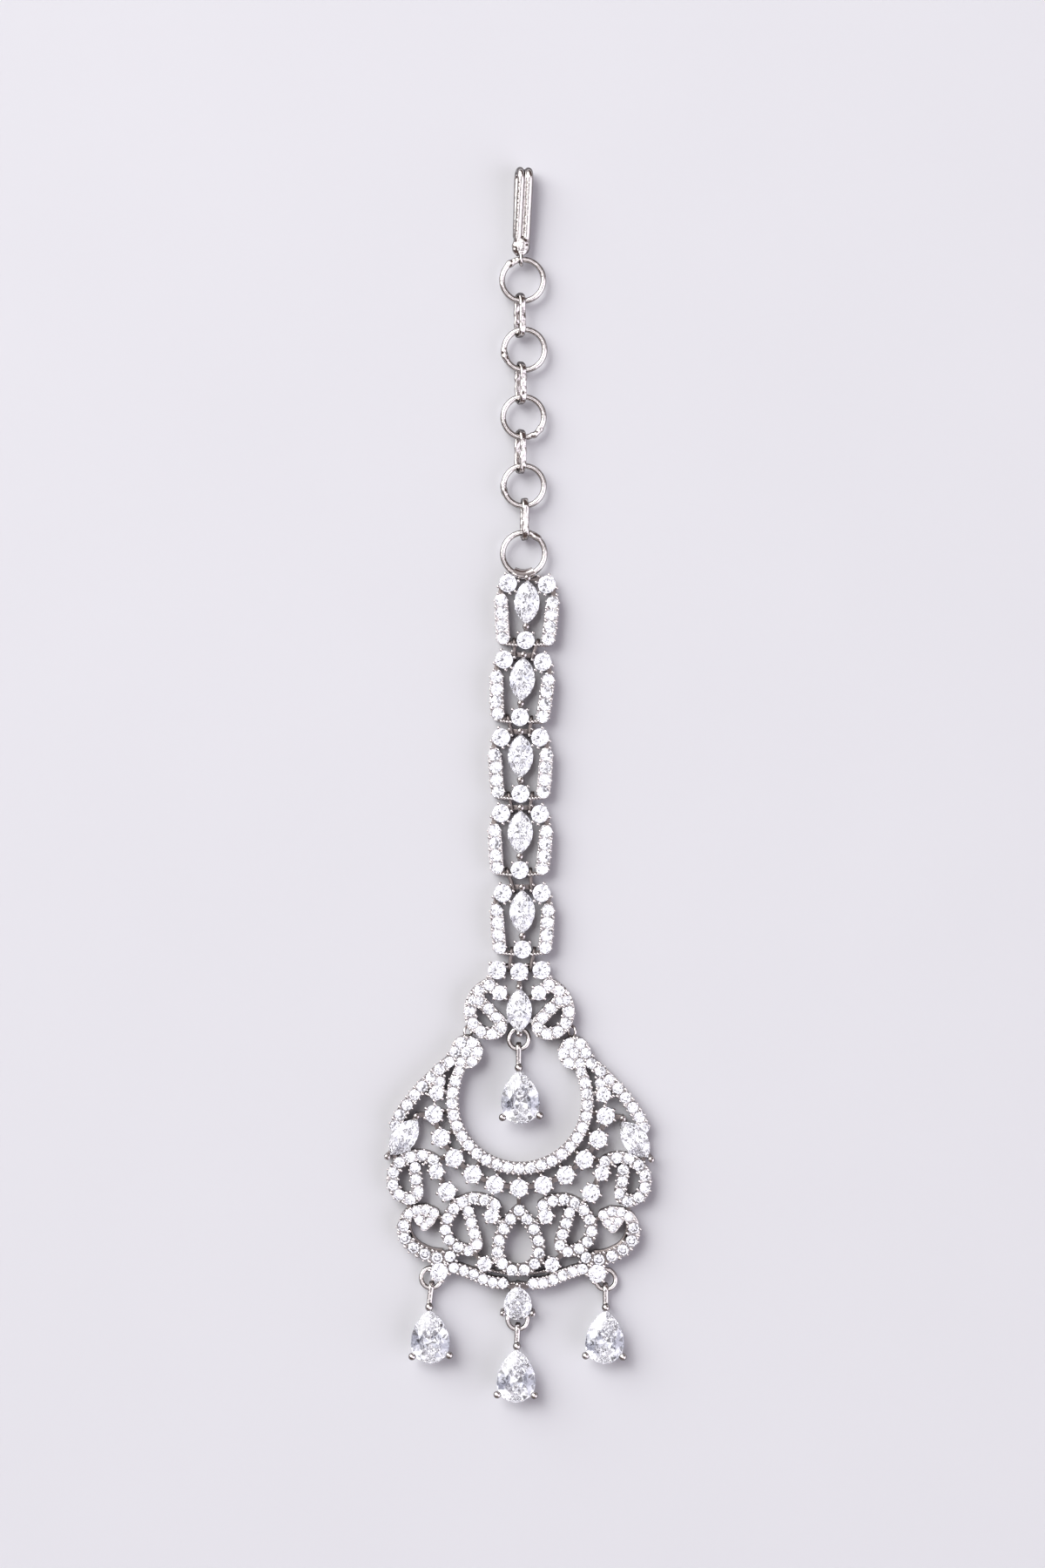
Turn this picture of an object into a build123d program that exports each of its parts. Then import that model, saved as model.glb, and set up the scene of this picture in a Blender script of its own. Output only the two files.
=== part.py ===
from build123d import *
from collections import namedtuple
from math import acos, atan2, cos, degrees, hypot, radians, sin
import os

# Maang tikka: a forehead ornament. A hair hook carries a short chain of jump
# rings, then five stone-set links, a crown piece and a crescent pendant with
# four pear drops. It lies on its back: +Y runs from the drops to the hook,
# +Z is the face, and the origin is the bottom centre of the whole piece.
# All sizes are in millimetres and all angles in degrees.

# ------------------------------------------------------------ driving sizes
SEAT_FLOOR = 1.2       # castings: height of the floor under the stone seats
PLATE_TOP = 1.9        # castings: face of a paved band
COLLET_TOP = 1.75      # castings: rim of a collet
BRIDGE_LOW = 0.7       # underside of a bar that small loops go round
BRIDGE_HIGH = 1.2      # upper side of that bar
BAND_WIDTH = 1.6       # paved band
BRIDGE_WIDTH = 0.6     # bar that small loops go round
STRUT_WIDTH = 0.6      # low strut between collets
FIT = 0.06             # clearance round a wire in its bore
PLAY = 0.16            # room for a bar in each end of an oval link
STONE_GAP = 0.04       # clearance between a stone and its setting
GIRDLE = 0.08          # height of a cut stone's upright edge

PAVE_SEAT = 0.6        # radius of the drilled seat of a pave stone
PAVE_BACK = 0.36       # radius of the hole behind it
SMALL_SEAT = 0.5       # the same for the small stones of the leaves
SMALL_BACK = 0.3
BAR_SEAT = 0.7         # the same for the larger stones of the links' side bars
BAR_BACK = 0.42

COLLET_INSET = 0.17    # collet wall: outer face, inside the stone's outline
BORE_INSET = 0.47      # collet wall: inner face of the bore under the stone
BACK_INSET = 0.72      # smaller hole that goes on through the back

PRONG_RADIUS = 0.34
RING_WIRE = 0.75       # chain rings: wire diameter
RING_Z = 1.37          # chain rings: height of the wire's centre
DROP_WIRE = 0.62       # drop rings: wire diameter
DROP_RING_RADIUS = 1.315   # drop rings: radius of the wire's centre line

# ------------------------------------------------------------- cut stones
# Lengths are measured at the girdle from the widest point. The pavilion is
# the depth below the girdle, the crown the height above it, and the table
# the share of the reach that the flat top keeps.
Stone = namedtuple("Stone", "half_width top bottom pavilion crown table girdle_z")
ROUND = Stone(1.15, 1.15, 1.15, 0.95, 0.36, 0.58, 2.12)
SMALL_ROUND = Stone(0.94, 0.94, 0.94, 0.8, 0.3, 0.58, 2.1)
MARQUISE = Stone(1.63, 2.8, 2.8, 1.4, 0.5, 0.6, 2.3)
SIDE_MARQUISE = Stone(1.6, 2.85, 2.85, 1.4, 0.5, 0.6, 2.3)
BASE_PEAR = Stone(1.8, 2.6, 1.8, 1.2, 0.5, 0.6, 2.2)
DROP_PEAR = Stone(2.5, 4.4, 2.5, 1.85, 0.7, 0.6, 2.3)

MAIN_STEPS = (0.25, 0.75)                   # places of the facets, as shares
HALF_STEPS = (0.125, 0.375, 0.625, 0.875)   # of a quadrant of the outline
STAR_STEPS = (0.0, 0.5, 1.0)
HALF_STEEPNESS = 1.03      # lower half facets run this much deeper than the mains
HALF_TABLE_REACH = 0.14    # upper half facets would meet the table this much further out
STAR_GIRDLE_REACH = 1.165  # star facets would meet the girdle at this share of its reach
STAR_TABLE_SHARE = 0.924
KITE_CLEARANCE = 1.002     # keeps the kites' points just above the girdle
CULET_DEPTH = 0.97         # share of the pavilion kept above the tiny flat culet


def quadrant(stone, end):
    """Radius of the outline's arcs towards one end (1 top, -1 bottom), and the turn of their last normal."""
    length = stone.top if end > 0 else stone.bottom
    radius = (length**2 + stone.half_width**2) / (2 * stone.half_width)
    return radius, degrees(acos((radius - stone.half_width) / radius))


def tangents(stone, steps):
    """The lines that touch the outline at these steps, as (azimuth, distance) in order of azimuth."""
    lines = {}
    for end in (1, -1):
        radius, last_turn = quadrant(stone, end)
        for step in steps:
            turn = last_turn * step
            distance = radius - (radius - stone.half_width) * cos(radians(turn))
            for azimuth in (end * turn, 180 - end * turn):
                lines[round(azimuth % 360, 4)] = distance
    return sorted(lines.items())


def crossing(line, other):
    """The point where two tangent lines cross."""
    (turn, distance), (other_turn, other_distance) = line, other
    ux, uy = cos(radians(turn)), sin(radians(turn))
    vx, vy = cos(radians(other_turn)), sin(radians(other_turn))
    area = ux * vy - uy * vx
    return ((distance * vy - other_distance * uy) / area, (other_distance * ux - distance * vx) / area)


def facet(rough, azimuth, low, high):
    """Grinds one facet on the rough. It passes through two levels, each a pair of height and distance."""
    (low_z, low_reach), (high_z, high_reach) = low, high
    across, up = high_z - low_z, low_reach - high_reach
    direction = (cos(radians(azimuth)), sin(radians(azimuth)))
    plane = Plane(
        origin=(direction[0] * low_reach, direction[1] * low_reach, low_z),
        z_dir=(direction[0] * across, direction[1] * across, up),
    )
    return rough.split(plane, keep=Keep.BOTTOM)


def cut_stone(stone, oversize=0.0):
    """A brilliant-cut stone on the Z axis, with its girdle at its set height."""
    if oversize:
        stone = stone._replace(
            half_width=stone.half_width + oversize,
            top=stone.top + oversize * stone.top / stone.half_width,
            bottom=stone.bottom + oversize * stone.bottom / stone.half_width,
            pavilion=stone.pavilion + oversize,
        )
    halves = tangents(stone, HALF_STEPS)
    corners = [crossing(halves[i - 1], halves[i]) for i in range(len(halves))]
    upper, lower = stone.girdle_z + GIRDLE / 2, stone.girdle_z - GIRDLE / 2
    table_z, culet_z = upper + stone.crown, lower - stone.pavilion
    outline = make_face(Polyline(*corners, close=True))
    rough = Pos(0, 0, culet_z) * extrude(outline, table_z - culet_z)
    rough = rough.solid()
    for azimuth, reach in halves:
        rough = facet(rough, azimuth, (upper, reach), (table_z, (stone.table + HALF_TABLE_REACH) * reach))
        rough = facet(rough, azimuth, (lower - HALF_STEEPNESS * stone.pavilion, 0), (lower, reach))
    for azimuth, reach in tangents(stone, MAIN_STEPS):
        aside = (cos(radians(azimuth)), sin(radians(azimuth)))
        edge = KITE_CLEARANCE * max(x * aside[0] + y * aside[1] for x, y in corners)
        rough = facet(rough, azimuth, (upper, edge), (table_z, stone.table * reach))
        rough = facet(rough, azimuth, (culet_z, 0), (lower, edge))
    for azimuth, reach in tangents(stone, STAR_STEPS):
        table_reach = STAR_TABLE_SHARE * stone.table * reach
        rough = facet(rough, azimuth, (upper, STAR_GIRDLE_REACH * reach), (table_z, table_reach))
    culet = Plane(origin=(0, 0, lower - CULET_DEPTH * stone.pavilion), z_dir=(0, 0, -1))
    return rough.split(culet, keep=Keep.BOTTOM)


# ------------------------------------------------------------ flat outlines
def at(point):
    """Moves a flat outline or a solid to a point in the plane."""
    return Pos(point[0], point[1])


def mirrored(points):
    """The points and their reflections in the Y axis, each once."""
    return points + [(-x, y) for x, y in points if abs(x) > 0.01]


def arcs_through(points):
    """Arcs through each run of three points: the end of one is the start of the next."""
    return [ThreePointArc(*points[i : i + 3]) for i in range(0, len(points) - 2, 2)]


def band(points, width=BAND_WIDTH):
    """A strip of even width with round ends along the arcs through the points."""
    return [SlotArc(arc, width) for arc in arcs_through(points)]


def bar(start, end, width=STRUT_WIDTH):
    """A straight strip with round ends."""
    length = hypot(end[0] - start[0], end[1] - start[1])
    turn = degrees(atan2(end[1] - start[1], end[0] - start[0]))
    middle = ((start[0] + end[0]) / 2, (start[1] + end[1]) / 2)
    return at(middle) * Rot(0, 0, turn) * SlotCenterToCenter(length, width)


def along(points, count, share=1.0):
    """Evenly spaced points along the arcs, from the start to this share of their length."""
    path = Wire(arcs_through(points))
    places = [path.position_at(share * i / (count - 1)) for i in range(count)]
    return [(place.X, place.Y) for place in places]


def outline(stone, inset):
    """The stone's outline of four arcs, drawn in by an even margin."""
    sides = []
    for end in (1, -1):
        radius, last_turn = quadrant(stone, end)
        back = radius - stone.half_width
        half = radians(last_turn / 2)
        middle = (radius * cos(half) - back, end * radius * sin(half))
        tip = (0, end * (stone.top if end > 0 else stone.bottom))
        for side in (1, -1):
            start = (side * stone.half_width, 0)
            sides.append(ThreePointArc(start, (side * middle[0], middle[1]), tip))
    return offset(make_face(Wire(sides)), amount=-inset)


def mirror_all(faces):
    """The faces and their reflections in the Y axis."""
    return faces + [mirror(face, about=Plane.YZ) for face in faces]


# ---------------------------------------------------------------- castings
Setting = namedtuple("Setting", "stone place turn")


def placed(shape, setting):
    """Puts a shape made on the Z axis where a setting is."""
    return at(setting.place) * Rot(0, 0, setting.turn) * shape


def casting(paved, seats, settings, struts, bridges=(), posts=(), tabs=()):
    """A flat-backed casting: paved bands with drilled seats, collets for the set stones, low struts,
    bars that small loops go round, posts for the prongs, and tabs from them to the collets.
    Seats are (places, seat radius, back radius)."""
    collets = [placed(outline(s.stone, COLLET_INSET), s) for s in settings] + list(tabs)
    bores = [placed(outline(s.stone, BORE_INSET), s) for s in settings]
    backs = [placed(outline(s.stone, BACK_INSET), s) for s in settings]
    drilled = [at(place) * Circle(seat) for places, seat, back in seats for place in places]
    through = [at(place) * Circle(back) for places, seat, back in seats for place in places]
    low = (Sketch() + paved + collets + list(struts)) - (backs + through)
    high = Sketch() + paved - (drilled + bores)
    rims = Sketch() + collets - (bores + drilled)
    solid = extrude(low, SEAT_FLOOR)
    solid += Pos(0, 0, SEAT_FLOOR) * extrude(high, PLATE_TOP - SEAT_FLOOR)
    solid += Pos(0, 0, SEAT_FLOOR) * extrude(rims, COLLET_TOP - SEAT_FLOOR)
    for bridge in bridges:
        solid += Pos(0, 0, BRIDGE_LOW) * extrude(bridge, BRIDGE_HIGH - BRIDGE_LOW)
    for post in posts:
        solid += post
    for setting in settings:
        solid -= placed(cut_stone(setting.stone, STONE_GAP), setting)
    return solid


def prong(place, radius, top):
    """An upright prong with a round bead at its top."""
    post = at(place) * Cylinder(PRONG_RADIUS, top, align=(Align.CENTER, Align.CENTER, Align.MIN))
    return post + at(place) * Pos(0, 0, top) * Sphere(radius)


# ------------------------------------------------------------ rings and links
def wire_ring(center, radius, wire, z, tilt=0.0):
    """A jump ring that lies on its side, tipped up towards +Y by the tilt."""
    return Pos(center[0], center[1], z) * Rot(tilt, 0, 0) * Torus(radius, wire / 2)


def oval_link(start, end, z, held, band_thickness, width, height, lean=0.0, rounding=0.45):
    """An oval link on edge around two bars at start and end. held is the bars' thickness across the link."""
    span = hypot(end[0] - start[0], end[1] - start[1])
    length = span + held + 2 * PLAY + 2 * band_thickness
    outer = SlotOverall(length, height)
    inner = SlotOverall(length - 2 * band_thickness, height - 2 * band_thickness)
    solid = extrude(outer - inner, width / 2, both=True)
    edges = [edge for edge in solid.edges() if abs(abs(edge.center().Z) - width / 2) < 0.001]
    solid = fillet(edges, rounding * min(band_thickness, width))
    forward = Vector(end[0] - start[0], end[1] - start[1], 0)
    middle = ((start[0] + end[0]) / 2, (start[1] + end[1]) / 2, z)
    frame = Plane(origin=middle, x_dir=forward, z_dir=(forward.Y, -forward.X, 0))
    return frame * Rot(lean, 0, 0) * solid


# ------------------------------------------------------------------- chain
Ring = namedtuple("Ring", "x y radius seam")   # radius of the centre line, azimuth of the soldered seam
RINGS = [
    Ring(0.37, 65.80, 2.71, 118),
    Ring(0.58, 56.72, 2.65, 196),
    Ring(0.46, 47.93, 2.66, -48),
    Ring(0.50, 38.95, 2.63, 190),
    Ring(0.50, 30.08, 2.75, 60),
]
SEAM_WIRE = 0.88         # diameter of the wire where its ends are soldered
SEAM_ARC = 34            # length of the soldered seam along the ring
Connector = namedtuple("Connector", "x lean")   # lean to the right, out of the upright
CONNECTORS = [Connector(0.0, 20), Connector(0.1, 20), Connector(0.08, 20), Connector(0.6, 8)]
CONNECTOR_BAND = 0.5
CONNECTOR_WIDTH = 0.85
CONNECTOR_HEIGHT = 2.6


def chain_ring(ring):
    """A jump ring whose ends are soldered together in a thicker seam."""
    solid = wire_ring((ring.x, ring.y), ring.radius, RING_WIRE, RING_Z)
    seam = Pos(ring.x, ring.y, RING_Z) * Rot(0, 0, ring.seam - SEAM_ARC / 2)
    return solid + seam * Torus(ring.radius, SEAM_WIRE / 2, major_angle=SEAM_ARC, align=None)


def connector(link, upper, lower):
    """The oval band link between two chain rings."""
    start = (link.x, upper.y - (upper.radius**2 - (link.x - upper.x) ** 2) ** 0.5)
    end = (link.x, lower.y + (lower.radius**2 - (link.x - lower.x) ** 2) ** 0.5)
    lean = radians(link.lean)
    z = (CONNECTOR_HEIGHT * cos(lean) + CONNECTOR_WIDTH * sin(lean)) / 2
    return oval_link(
        start, end, z, RING_WIRE, CONNECTOR_BAND, CONNECTOR_WIDTH, CONNECTOR_HEIGHT, -link.lean,
    )


# -------------------------------------------------------------------- hook
HOOK_WIRE = 1.0          # diameter of each of the two wires side by side
HOOK_SPREAD = 1.1        # distance between their centres
HOOK_WEB = 0.3           # thickness of the solder between them
HOOK_TIP_Y = 71.7        # end of the back leg
HOOK_TOP_Y = 80.05       # outermost centre line of the bend
HOOK_FRONT_Z = 2.8       # centre line of the front leg at the bend
HOOK_BEND = 1.05         # radius of the bend
HOOK_NECK_Y = 70.8       # where the front leg runs into the solder
HOOK_NECK_Z = 1.5
HOOK_X = 0.0             # place of the hook's foot
HOOK_TURN = 1.6          # lean of the hook to the right
HOOK_TWIST = 11          # roll that shows the back leg on the left
EYE_X = 0.15
EYE_RADIUS = 0.65        # centre line of the eye round the first ring
EYE_WIRE = 0.46
LumpSection = namedtuple("LumpSection", "ahead width height")   # ahead of the first ring's wire
LUMP = [
    LumpSection(2.9, 2.1, 1.0),
    LumpSection(2.0, 2.3, 1.3),
    LumpSection(1.2, 2.1, 1.25),
    LumpSection(0.5, 0.9, 0.8),
]


def hair_hook():
    """Doubled wire bent into a flat U. Its front leg ends in a solder lump and an eye for the first ring."""
    ring = RINGS[0]
    eye_y = ring.y + ring.radius
    path = FilletPolyline(
        (0, HOOK_TIP_Y, HOOK_WIRE / 2), (0, HOOK_TOP_Y, HOOK_WIRE / 2), (0, HOOK_TOP_Y, HOOK_FRONT_Z),
        (0, HOOK_NECK_Y, HOOK_NECK_Z), radius=HOOK_BEND,
    )
    start = Plane(origin=(0, HOOK_TIP_Y, HOOK_WIRE / 2), x_dir=(1, 0, 0), z_dir=(0, 1, 0))
    wires = [Pos(side * HOOK_SPREAD / 2, 0) * Circle(HOOK_WIRE / 2) for side in (-1, 1)]
    hook = sweep(start * (Sketch() + wires + Rectangle(HOOK_SPREAD / 2, HOOK_WEB)), path=path)
    for side in (-1, 1):
        hook += Pos(side * HOOK_SPREAD / 2, HOOK_TIP_Y, HOOK_WIRE / 2) * Sphere(HOOK_WIRE / 2)
    hook = Pos(0, 0, HOOK_WIRE / 2) * Rot(0, HOOK_TWIST, 0) * Pos(0, 0, -HOOK_WIRE / 2) * hook
    neck_x = (HOOK_NECK_Z - HOOK_WIRE / 2) * sin(radians(HOOK_TWIST))
    sections = []
    for section in LUMP:
        sideways = neck_x * section.ahead / LUMP[0].ahead
        origin = (sideways, eye_y + section.ahead, HOOK_NECK_Z)
        plane = Plane(origin=origin, x_dir=(1, 0, 0), z_dir=(0, -1, 0))
        sections.append((plane * Ellipse(section.width / 2, section.height / 2)).face())
    hook += loft(sections)
    hook = Pos(HOOK_X, eye_y) * Rot(0, 0, -HOOK_TURN) * Pos(0, -eye_y) * hook
    eye = Pos(EYE_X, eye_y, RING_Z) * Rot(0, 90, 0) * Torus(EYE_RADIUS, EYE_WIRE / 2)
    return hook + eye


# --------------------------------------------------------- stone-set links
Place = namedtuple("Place", "x y turn")   # centre of the link's marquise, and its turn to the right
LINKS = [
    Place(0.91, 23.69, 1.8),
    Place(0.31, 13.66, 3.4),
    Place(0.09, 3.66, 0.0),
    Place(0.05, -6.28, 0.9),
    Place(0.31, -16.65, -0.3),
]
LINK_UPPER_ROUND = (2.53, 2.42)
LINK_LOWER_ROUND = (0.0, -4.94)
LINK_BAR_STONES = [(3.38, 0.14), (3.25, -1.48), (3.18, -3.11), (2.95, -4.72)]
LINK_BAR_EDGE = 0.93     # margin of the side bar round its stones' centres
LINK_PRONGS = [(0, 3.2), (0, -3.15)]
LINK_PRONG_BEAD = 0.47
LINK_PRONG_RISE = 0.12   # the beads' centres over the marquise's girdle
LINK_STEM = ((3.7, 0.5), (3.3, 1.9), 0.7)   # from a side bar up to the upper round
LINK_SPINE = [((0, 2.0), (0, 3.05)), ((0, -2.0), (0, -4.5))]
LINK_TOP_BRIDGE = 3.2    # y of the bar at the top of a link
LINK_TOP_BRIDGE_END = 1.95   # it ends this far from the middle, in the collets
LINK_BOTTOM_BRIDGE = -5.45
LINK_BOTTOM_BRIDGE_END = 2.9
LOOP_X_ABOVE = 1.45      # the small loops stand this far from the middle of the piece above
LOOP_X_BELOW = 1.2       # and of the link below
LOOP_X_CROWN = 1.4       # and of the crown piece
LOOP_SHIFT_CROWN = 0.14  # there they have slid this far to the right
LOOP_WIRE = 0.42
LOOP_WIDTH = 0.5
LOOP_HEIGHT = 1.62
SLEEVE_WALL = 0.3        # sleeve on the first link that holds the last chain ring
SLEEVE_ARC = 60
SLEEVE_FOOT = (1.8, 0.7, 0.9)   # the block that joins it to the link
SLEEVE_FOOT_Z = 0.95


def link_point(place, point):
    """A point of a link in the whole piece's plane."""
    turn = radians(-place.turn)
    x = place.x + point[0] * cos(turn) - point[1] * sin(turn)
    y = place.y + point[0] * sin(turn) + point[1] * cos(turn)
    return (x, y)


def set_in_place(solid, place):
    """Puts a link made round its marquise where it lies."""
    return Pos(place.x, place.y) * Rot(0, 0, -place.turn) * solid


def link_settings():
    """The marquise and the three rounds of a link."""
    rounds = [Setting(ROUND, point, 0) for point in mirrored([LINK_UPPER_ROUND]) + [LINK_LOWER_ROUND]]
    return [Setting(MARQUISE, (0, 0), 0)] + rounds


def link_frame():
    """One link's casting: collets for four stones between two paved side bars."""
    margin = Sketch() + [at(point) * Circle(LINK_BAR_EDGE) for point in LINK_BAR_STONES]
    side_bar = make_hull(margin.edges())
    struts = mirror_all([bar(*LINK_STEM)]) + [bar(*piece) for piece in LINK_SPINE]
    ends = ((LINK_TOP_BRIDGE_END, LINK_TOP_BRIDGE), (LINK_BOTTOM_BRIDGE_END, LINK_BOTTOM_BRIDGE))
    bridges = [bar((-x, y), (x, y), BRIDGE_WIDTH) for x, y in ends]
    bar_stones = (mirrored(LINK_BAR_STONES), BAR_SEAT, BAR_BACK)
    bead_z = MARQUISE.girdle_z + LINK_PRONG_RISE
    posts = [prong(point, LINK_PRONG_BEAD, bead_z) for point in LINK_PRONGS]
    return casting(mirror_all([side_bar]), [bar_stones], link_settings(), struts, bridges, posts)


def top_sleeve():
    """The bent sleeve on the first link, through which the last chain ring runs."""
    ring = RINGS[-1]
    bottom = Pos(ring.x, ring.y, RING_Z) * Rot(0, 0, 270 - SLEEVE_ARC / 2)
    bore = RING_WIRE / 2 + FIT
    sleeve = bottom * Torus(ring.radius, bore + SLEEVE_WALL, major_angle=SLEEVE_ARC, align=None)
    foot = Box(*SLEEVE_FOOT, align=(Align.CENTER, Align.MAX, Align.CENTER))
    return sleeve + Pos(ring.x, ring.y - ring.radius, SLEEVE_FOOT_Z) * foot


def clearance(ring):
    """The space that a chain ring needs to run freely."""
    return wire_ring((ring.x, ring.y), ring.radius, RING_WIRE + 2 * FIT, RING_Z)


def small_loops(upper_points, lower_points):
    """Two wire loops on edge, each round a bar of the piece above and a bar of the piece below."""
    z = (BRIDGE_LOW + BRIDGE_HIGH) / 2
    loops = [
        oval_link(above, below, z, BRIDGE_WIDTH, LOOP_WIRE, LOOP_WIDTH, LOOP_HEIGHT)
        for above, below in zip(upper_points, lower_points)
    ]
    return Compound(children=loops)


# ------------------------------------------------------------- crown piece
CROWN = Place(-0.08, -29.5, 0.0)
CROWN_TOP_ROUNDS = [(2.9, 5.22), (0.0, 5.0)]
CROWN_HOOK_ROUND = (2.55, 2.25)
CROWN_PRONGS = [(0, 3.05), (0, -3.1)]
CROWN_PRONG_BEAD = 0.45
CROWN_PRONG_TAB = 0.7    # width of the tab from a prong to the collet
CROWN_BRIDGE = 5.75
CROWN_STRUTS = [
    ((2.9, 5.2), (3.9, 3.3), 0.6), ((2.55, 2.25), (3.9, 3.3), 1.0), ((1.0, 1.3), (2.4, 2.1), 0.6),
    ((1.2, -1.4), (2.4, -1.7), 0.6), ((0, 5.0), (0, 2.0), 0.6),
]
# Wings: arcs through these points, from the hooked arm round the teardrop loop.
WING_PATH = [
    (3.9, 3.3), (5.3, 2.5), (6.15, 1.2), (6.42, -0.6), (5.9, -2.0), (4.5, -3.0), (3.0, -2.95),
    (2.35, -2.1), (2.9, -1.1), (4.0, 0.1), (5.2, 1.2),
]
WING_WIDTH = 1.75
WING_STONES = 11


def crown_settings():
    """The marquise, the three rounds over it and the rounds at the hooked ends of the wings."""
    settings = [Setting(MARQUISE, (0, 0), 0)]
    settings += [Setting(ROUND, point, 0) for point in mirrored(CROWN_TOP_ROUNDS)]
    return settings + [Setting(SMALL_ROUND, point, 0) for point in mirrored([CROWN_HOOK_ROUND])]


def crown_frame():
    """The crown piece's casting: a marquise between two pierced wings under three rounds."""
    struts = [bar(*piece) for piece in CROWN_STRUTS]
    tabs = [bar((0, y / 2), (0, y), CROWN_PRONG_TAB) for x, y in CROWN_PRONGS]
    bridge_end = CROWN_TOP_ROUNDS[0][0]
    bridge = bar((-bridge_end, CROWN_BRIDGE), (bridge_end, CROWN_BRIDGE), BRIDGE_WIDTH)
    bead_z = MARQUISE.girdle_z + LINK_PRONG_RISE
    posts = [prong(point, CROWN_PRONG_BEAD, bead_z) for point in CROWN_PRONGS]
    wing_stones = (mirrored(along(WING_PATH, WING_STONES)), PAVE_SEAT, PAVE_BACK)
    wings = mirror_all(band(WING_PATH, WING_WIDTH))
    return casting(wings, [wing_stones], crown_settings(), mirror_all(struts), [bridge], posts, tabs)


# ------------------------------------------------------------ the pendant
# Points are taken from the centre of the crescent's opening.
PENDANT = Place(0.0, -41.34, 0.6)
CRESCENT_RADIUS = 8.86       # centre line of the paved inner ring
CRESCENT_END = 26            # its ends are this far above the horizontal
CRESCENT_STONES = 13         # from the bottom to one end
DISC = (7.06, 6.3)           # paved discs at the two horns
DISC_RADIUS = 2.22
DISC_RING = 1.45             # the six outer stones of a disc lie on this radius
ROW_RADIUS = 11.36           # row of prong-set rounds outside the ring
ROW_STEP = 16.15
ROW_HALF_COUNT = 5
LONE_ROUND = (9.4, -11.9)
ROSETTE = (10.3, -22.4)
WEB_STONE = (10.45, 2.4)     # lone pave stone between the ring and the shoulder
WEB_EDGE = 0.8
SMALL_ROUNDS = [(10.9, 0.95), (10.8, -9.3), (3.55, -15.0), (4.4, -21.3)]
SIDE_MARQUISE_PLACE = (15.07, -4.86)
SIDE_MARQUISE_TURN = 37
SIDE_PRONGS = [(13.45, -2.1), (17.2, -7.42)]
SIDE_PRONG_BEAD = 0.44
PEAR_PLACE = (0.0, -26.7)
PEAR_PRONGS = [(0, -23.95), (1.95, -27.7), (-1.95, -27.7)]
PEAR_PRONG_BEAD = 0.4
PENDANT_PRONG_RISE = 0.1     # the beads' centres over the stones' girdles
LEAF_STONES = [(13.35, -14.4), (12.15, -14.3), (11.05, -14.75), (12.95, -15.6), (11.6, -15.8), (12.3, -16.45)]
LEAF_EDGE = 0.74             # margin of a leaf round its stones' centres

Row = namedtuple("Row", "name points stones share")   # paved rows of the right half, along arcs
ROWS = [
    Row("shoulder", [(9.3, 5.0), (12.6, 1.95), (14.6, -0.55), (15.6, -2.0), (16.2, -3.4)], 8, 1.0),
    Row(
        "upper scroll",
        [(11.2, -7.8), (12.9, -7.25), (14.7, -7.6), (16.1, -8.8), (16.55, -10.6), (16.0, -12.1),
         (14.6, -12.95), (13.6, -12.8), (13.15, -11.9), (13.45, -10.4), (13.6, -8.85)], 11, 1.0,
    ),
    Row(
        "outer scroll",
        [(14.35, -14.95), (15.1, -16.8), (14.6, -18.4), (13.4, -19.5), (12.0, -20.2), (10.4, -20.6),
         (8.9, -20.35)], 7, 1.0,
    ),
    Row(
        "inner scroll",
        [(3.1, -13.6), (4.4, -13.0), (6.1, -12.8), (7.6, -13.4), (8.9, -14.8), (9.55, -16.5),
         (9.15, -18.1), (8.0, -19.15), (6.7, -19.6), (5.65, -19.3), (5.4, -18.3), (6.05, -16.4),
         (6.6, -14.5)], 14, 1.0,
    ),
    Row(
        "teardrop",
        [(0, -14.3), (1.05, -15.4), (1.95, -16.75), (2.6, -18.4), (2.7, -19.8), (1.95, -21.4),
         (0, -22.1)], 7, 12 / 13,
    ),
    Row("swag", [(8.4, -21.85), (7.0, -22.25), (5.2, -23.0), (3.6, -23.65), (1.95, -23.8)], 6, 1.0),
]
# Plain raised pieces of the right half: the teardrop's lugs and the end of the swag.
PLAIN_BARS = [((1.6, -15.5), (2.5, -15.85), 0.6), ((8.4, -21.85), (10.3, -22.4), 0.9)]
# Low struts of the right half that tie bands and collets together.
STRUTS = [
    ((9.4, 0.8), (12.2, 2.2)), ((11.2, -1.85), (13.45, -2.1)), ((8.5, -7.5), (11.2, -7.8)),
    ((9.4, -11.9), (10.8, -9.3)), ((10.8, -9.3), (11.2, -7.8)), ((9.4, -11.9), (8.4, -13.9)),
    ((14.6, -12.9), (14.2, -14.7)), ((11.2, -15.0), (9.3, -15.8)), ((10.3, -20.6), (10.3, -22.3)),
    ((0, -11.3), (0, -14.4)), ((1.9, -16.1), (3.5, -15.1)), ((3.55, -15.0), (3.1, -13.5)),
    ((6.4, -19.5), (4.5, -21.3)), ((4.4, -21.3), (2.4, -20.9)), ((4.4, -21.3), (4.4, -23.2)),
    ((2.5, -23.75), (0.2, -24.7)), ((8.6, -18.7), (8.9, -20.3)), ((0, -24.05), (1.6, -24.05)),
    ((14.5, -6.0), (14.4, -7.6)), ((16.5, -6.9), (15.9, -8.4)), ((13.45, -2.1), (14.1, -3.6)),
    ((17.2, -7.42), (16.2, -6.3)), ((0, -23.95), (0, -25.0)), ((1.95, -27.7), (1.2, -27.2)),
]
LEDGES = [
    [(14.15, -16.2), (13.7, -17.9), (12.3, -19.05), (11.2, -19.5), (10.0, -19.6)],
    [(4.3, -22.1), (2.8, -22.45), (1.3, -22.7)],
]
LEDGE_WIDTH = 0.4


def polar(radius, turn):
    """A point on a circle round the crescent's centre, at a turn from straight down to the right."""
    return (radius * sin(radians(turn)), -radius * cos(radians(turn)))


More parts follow.
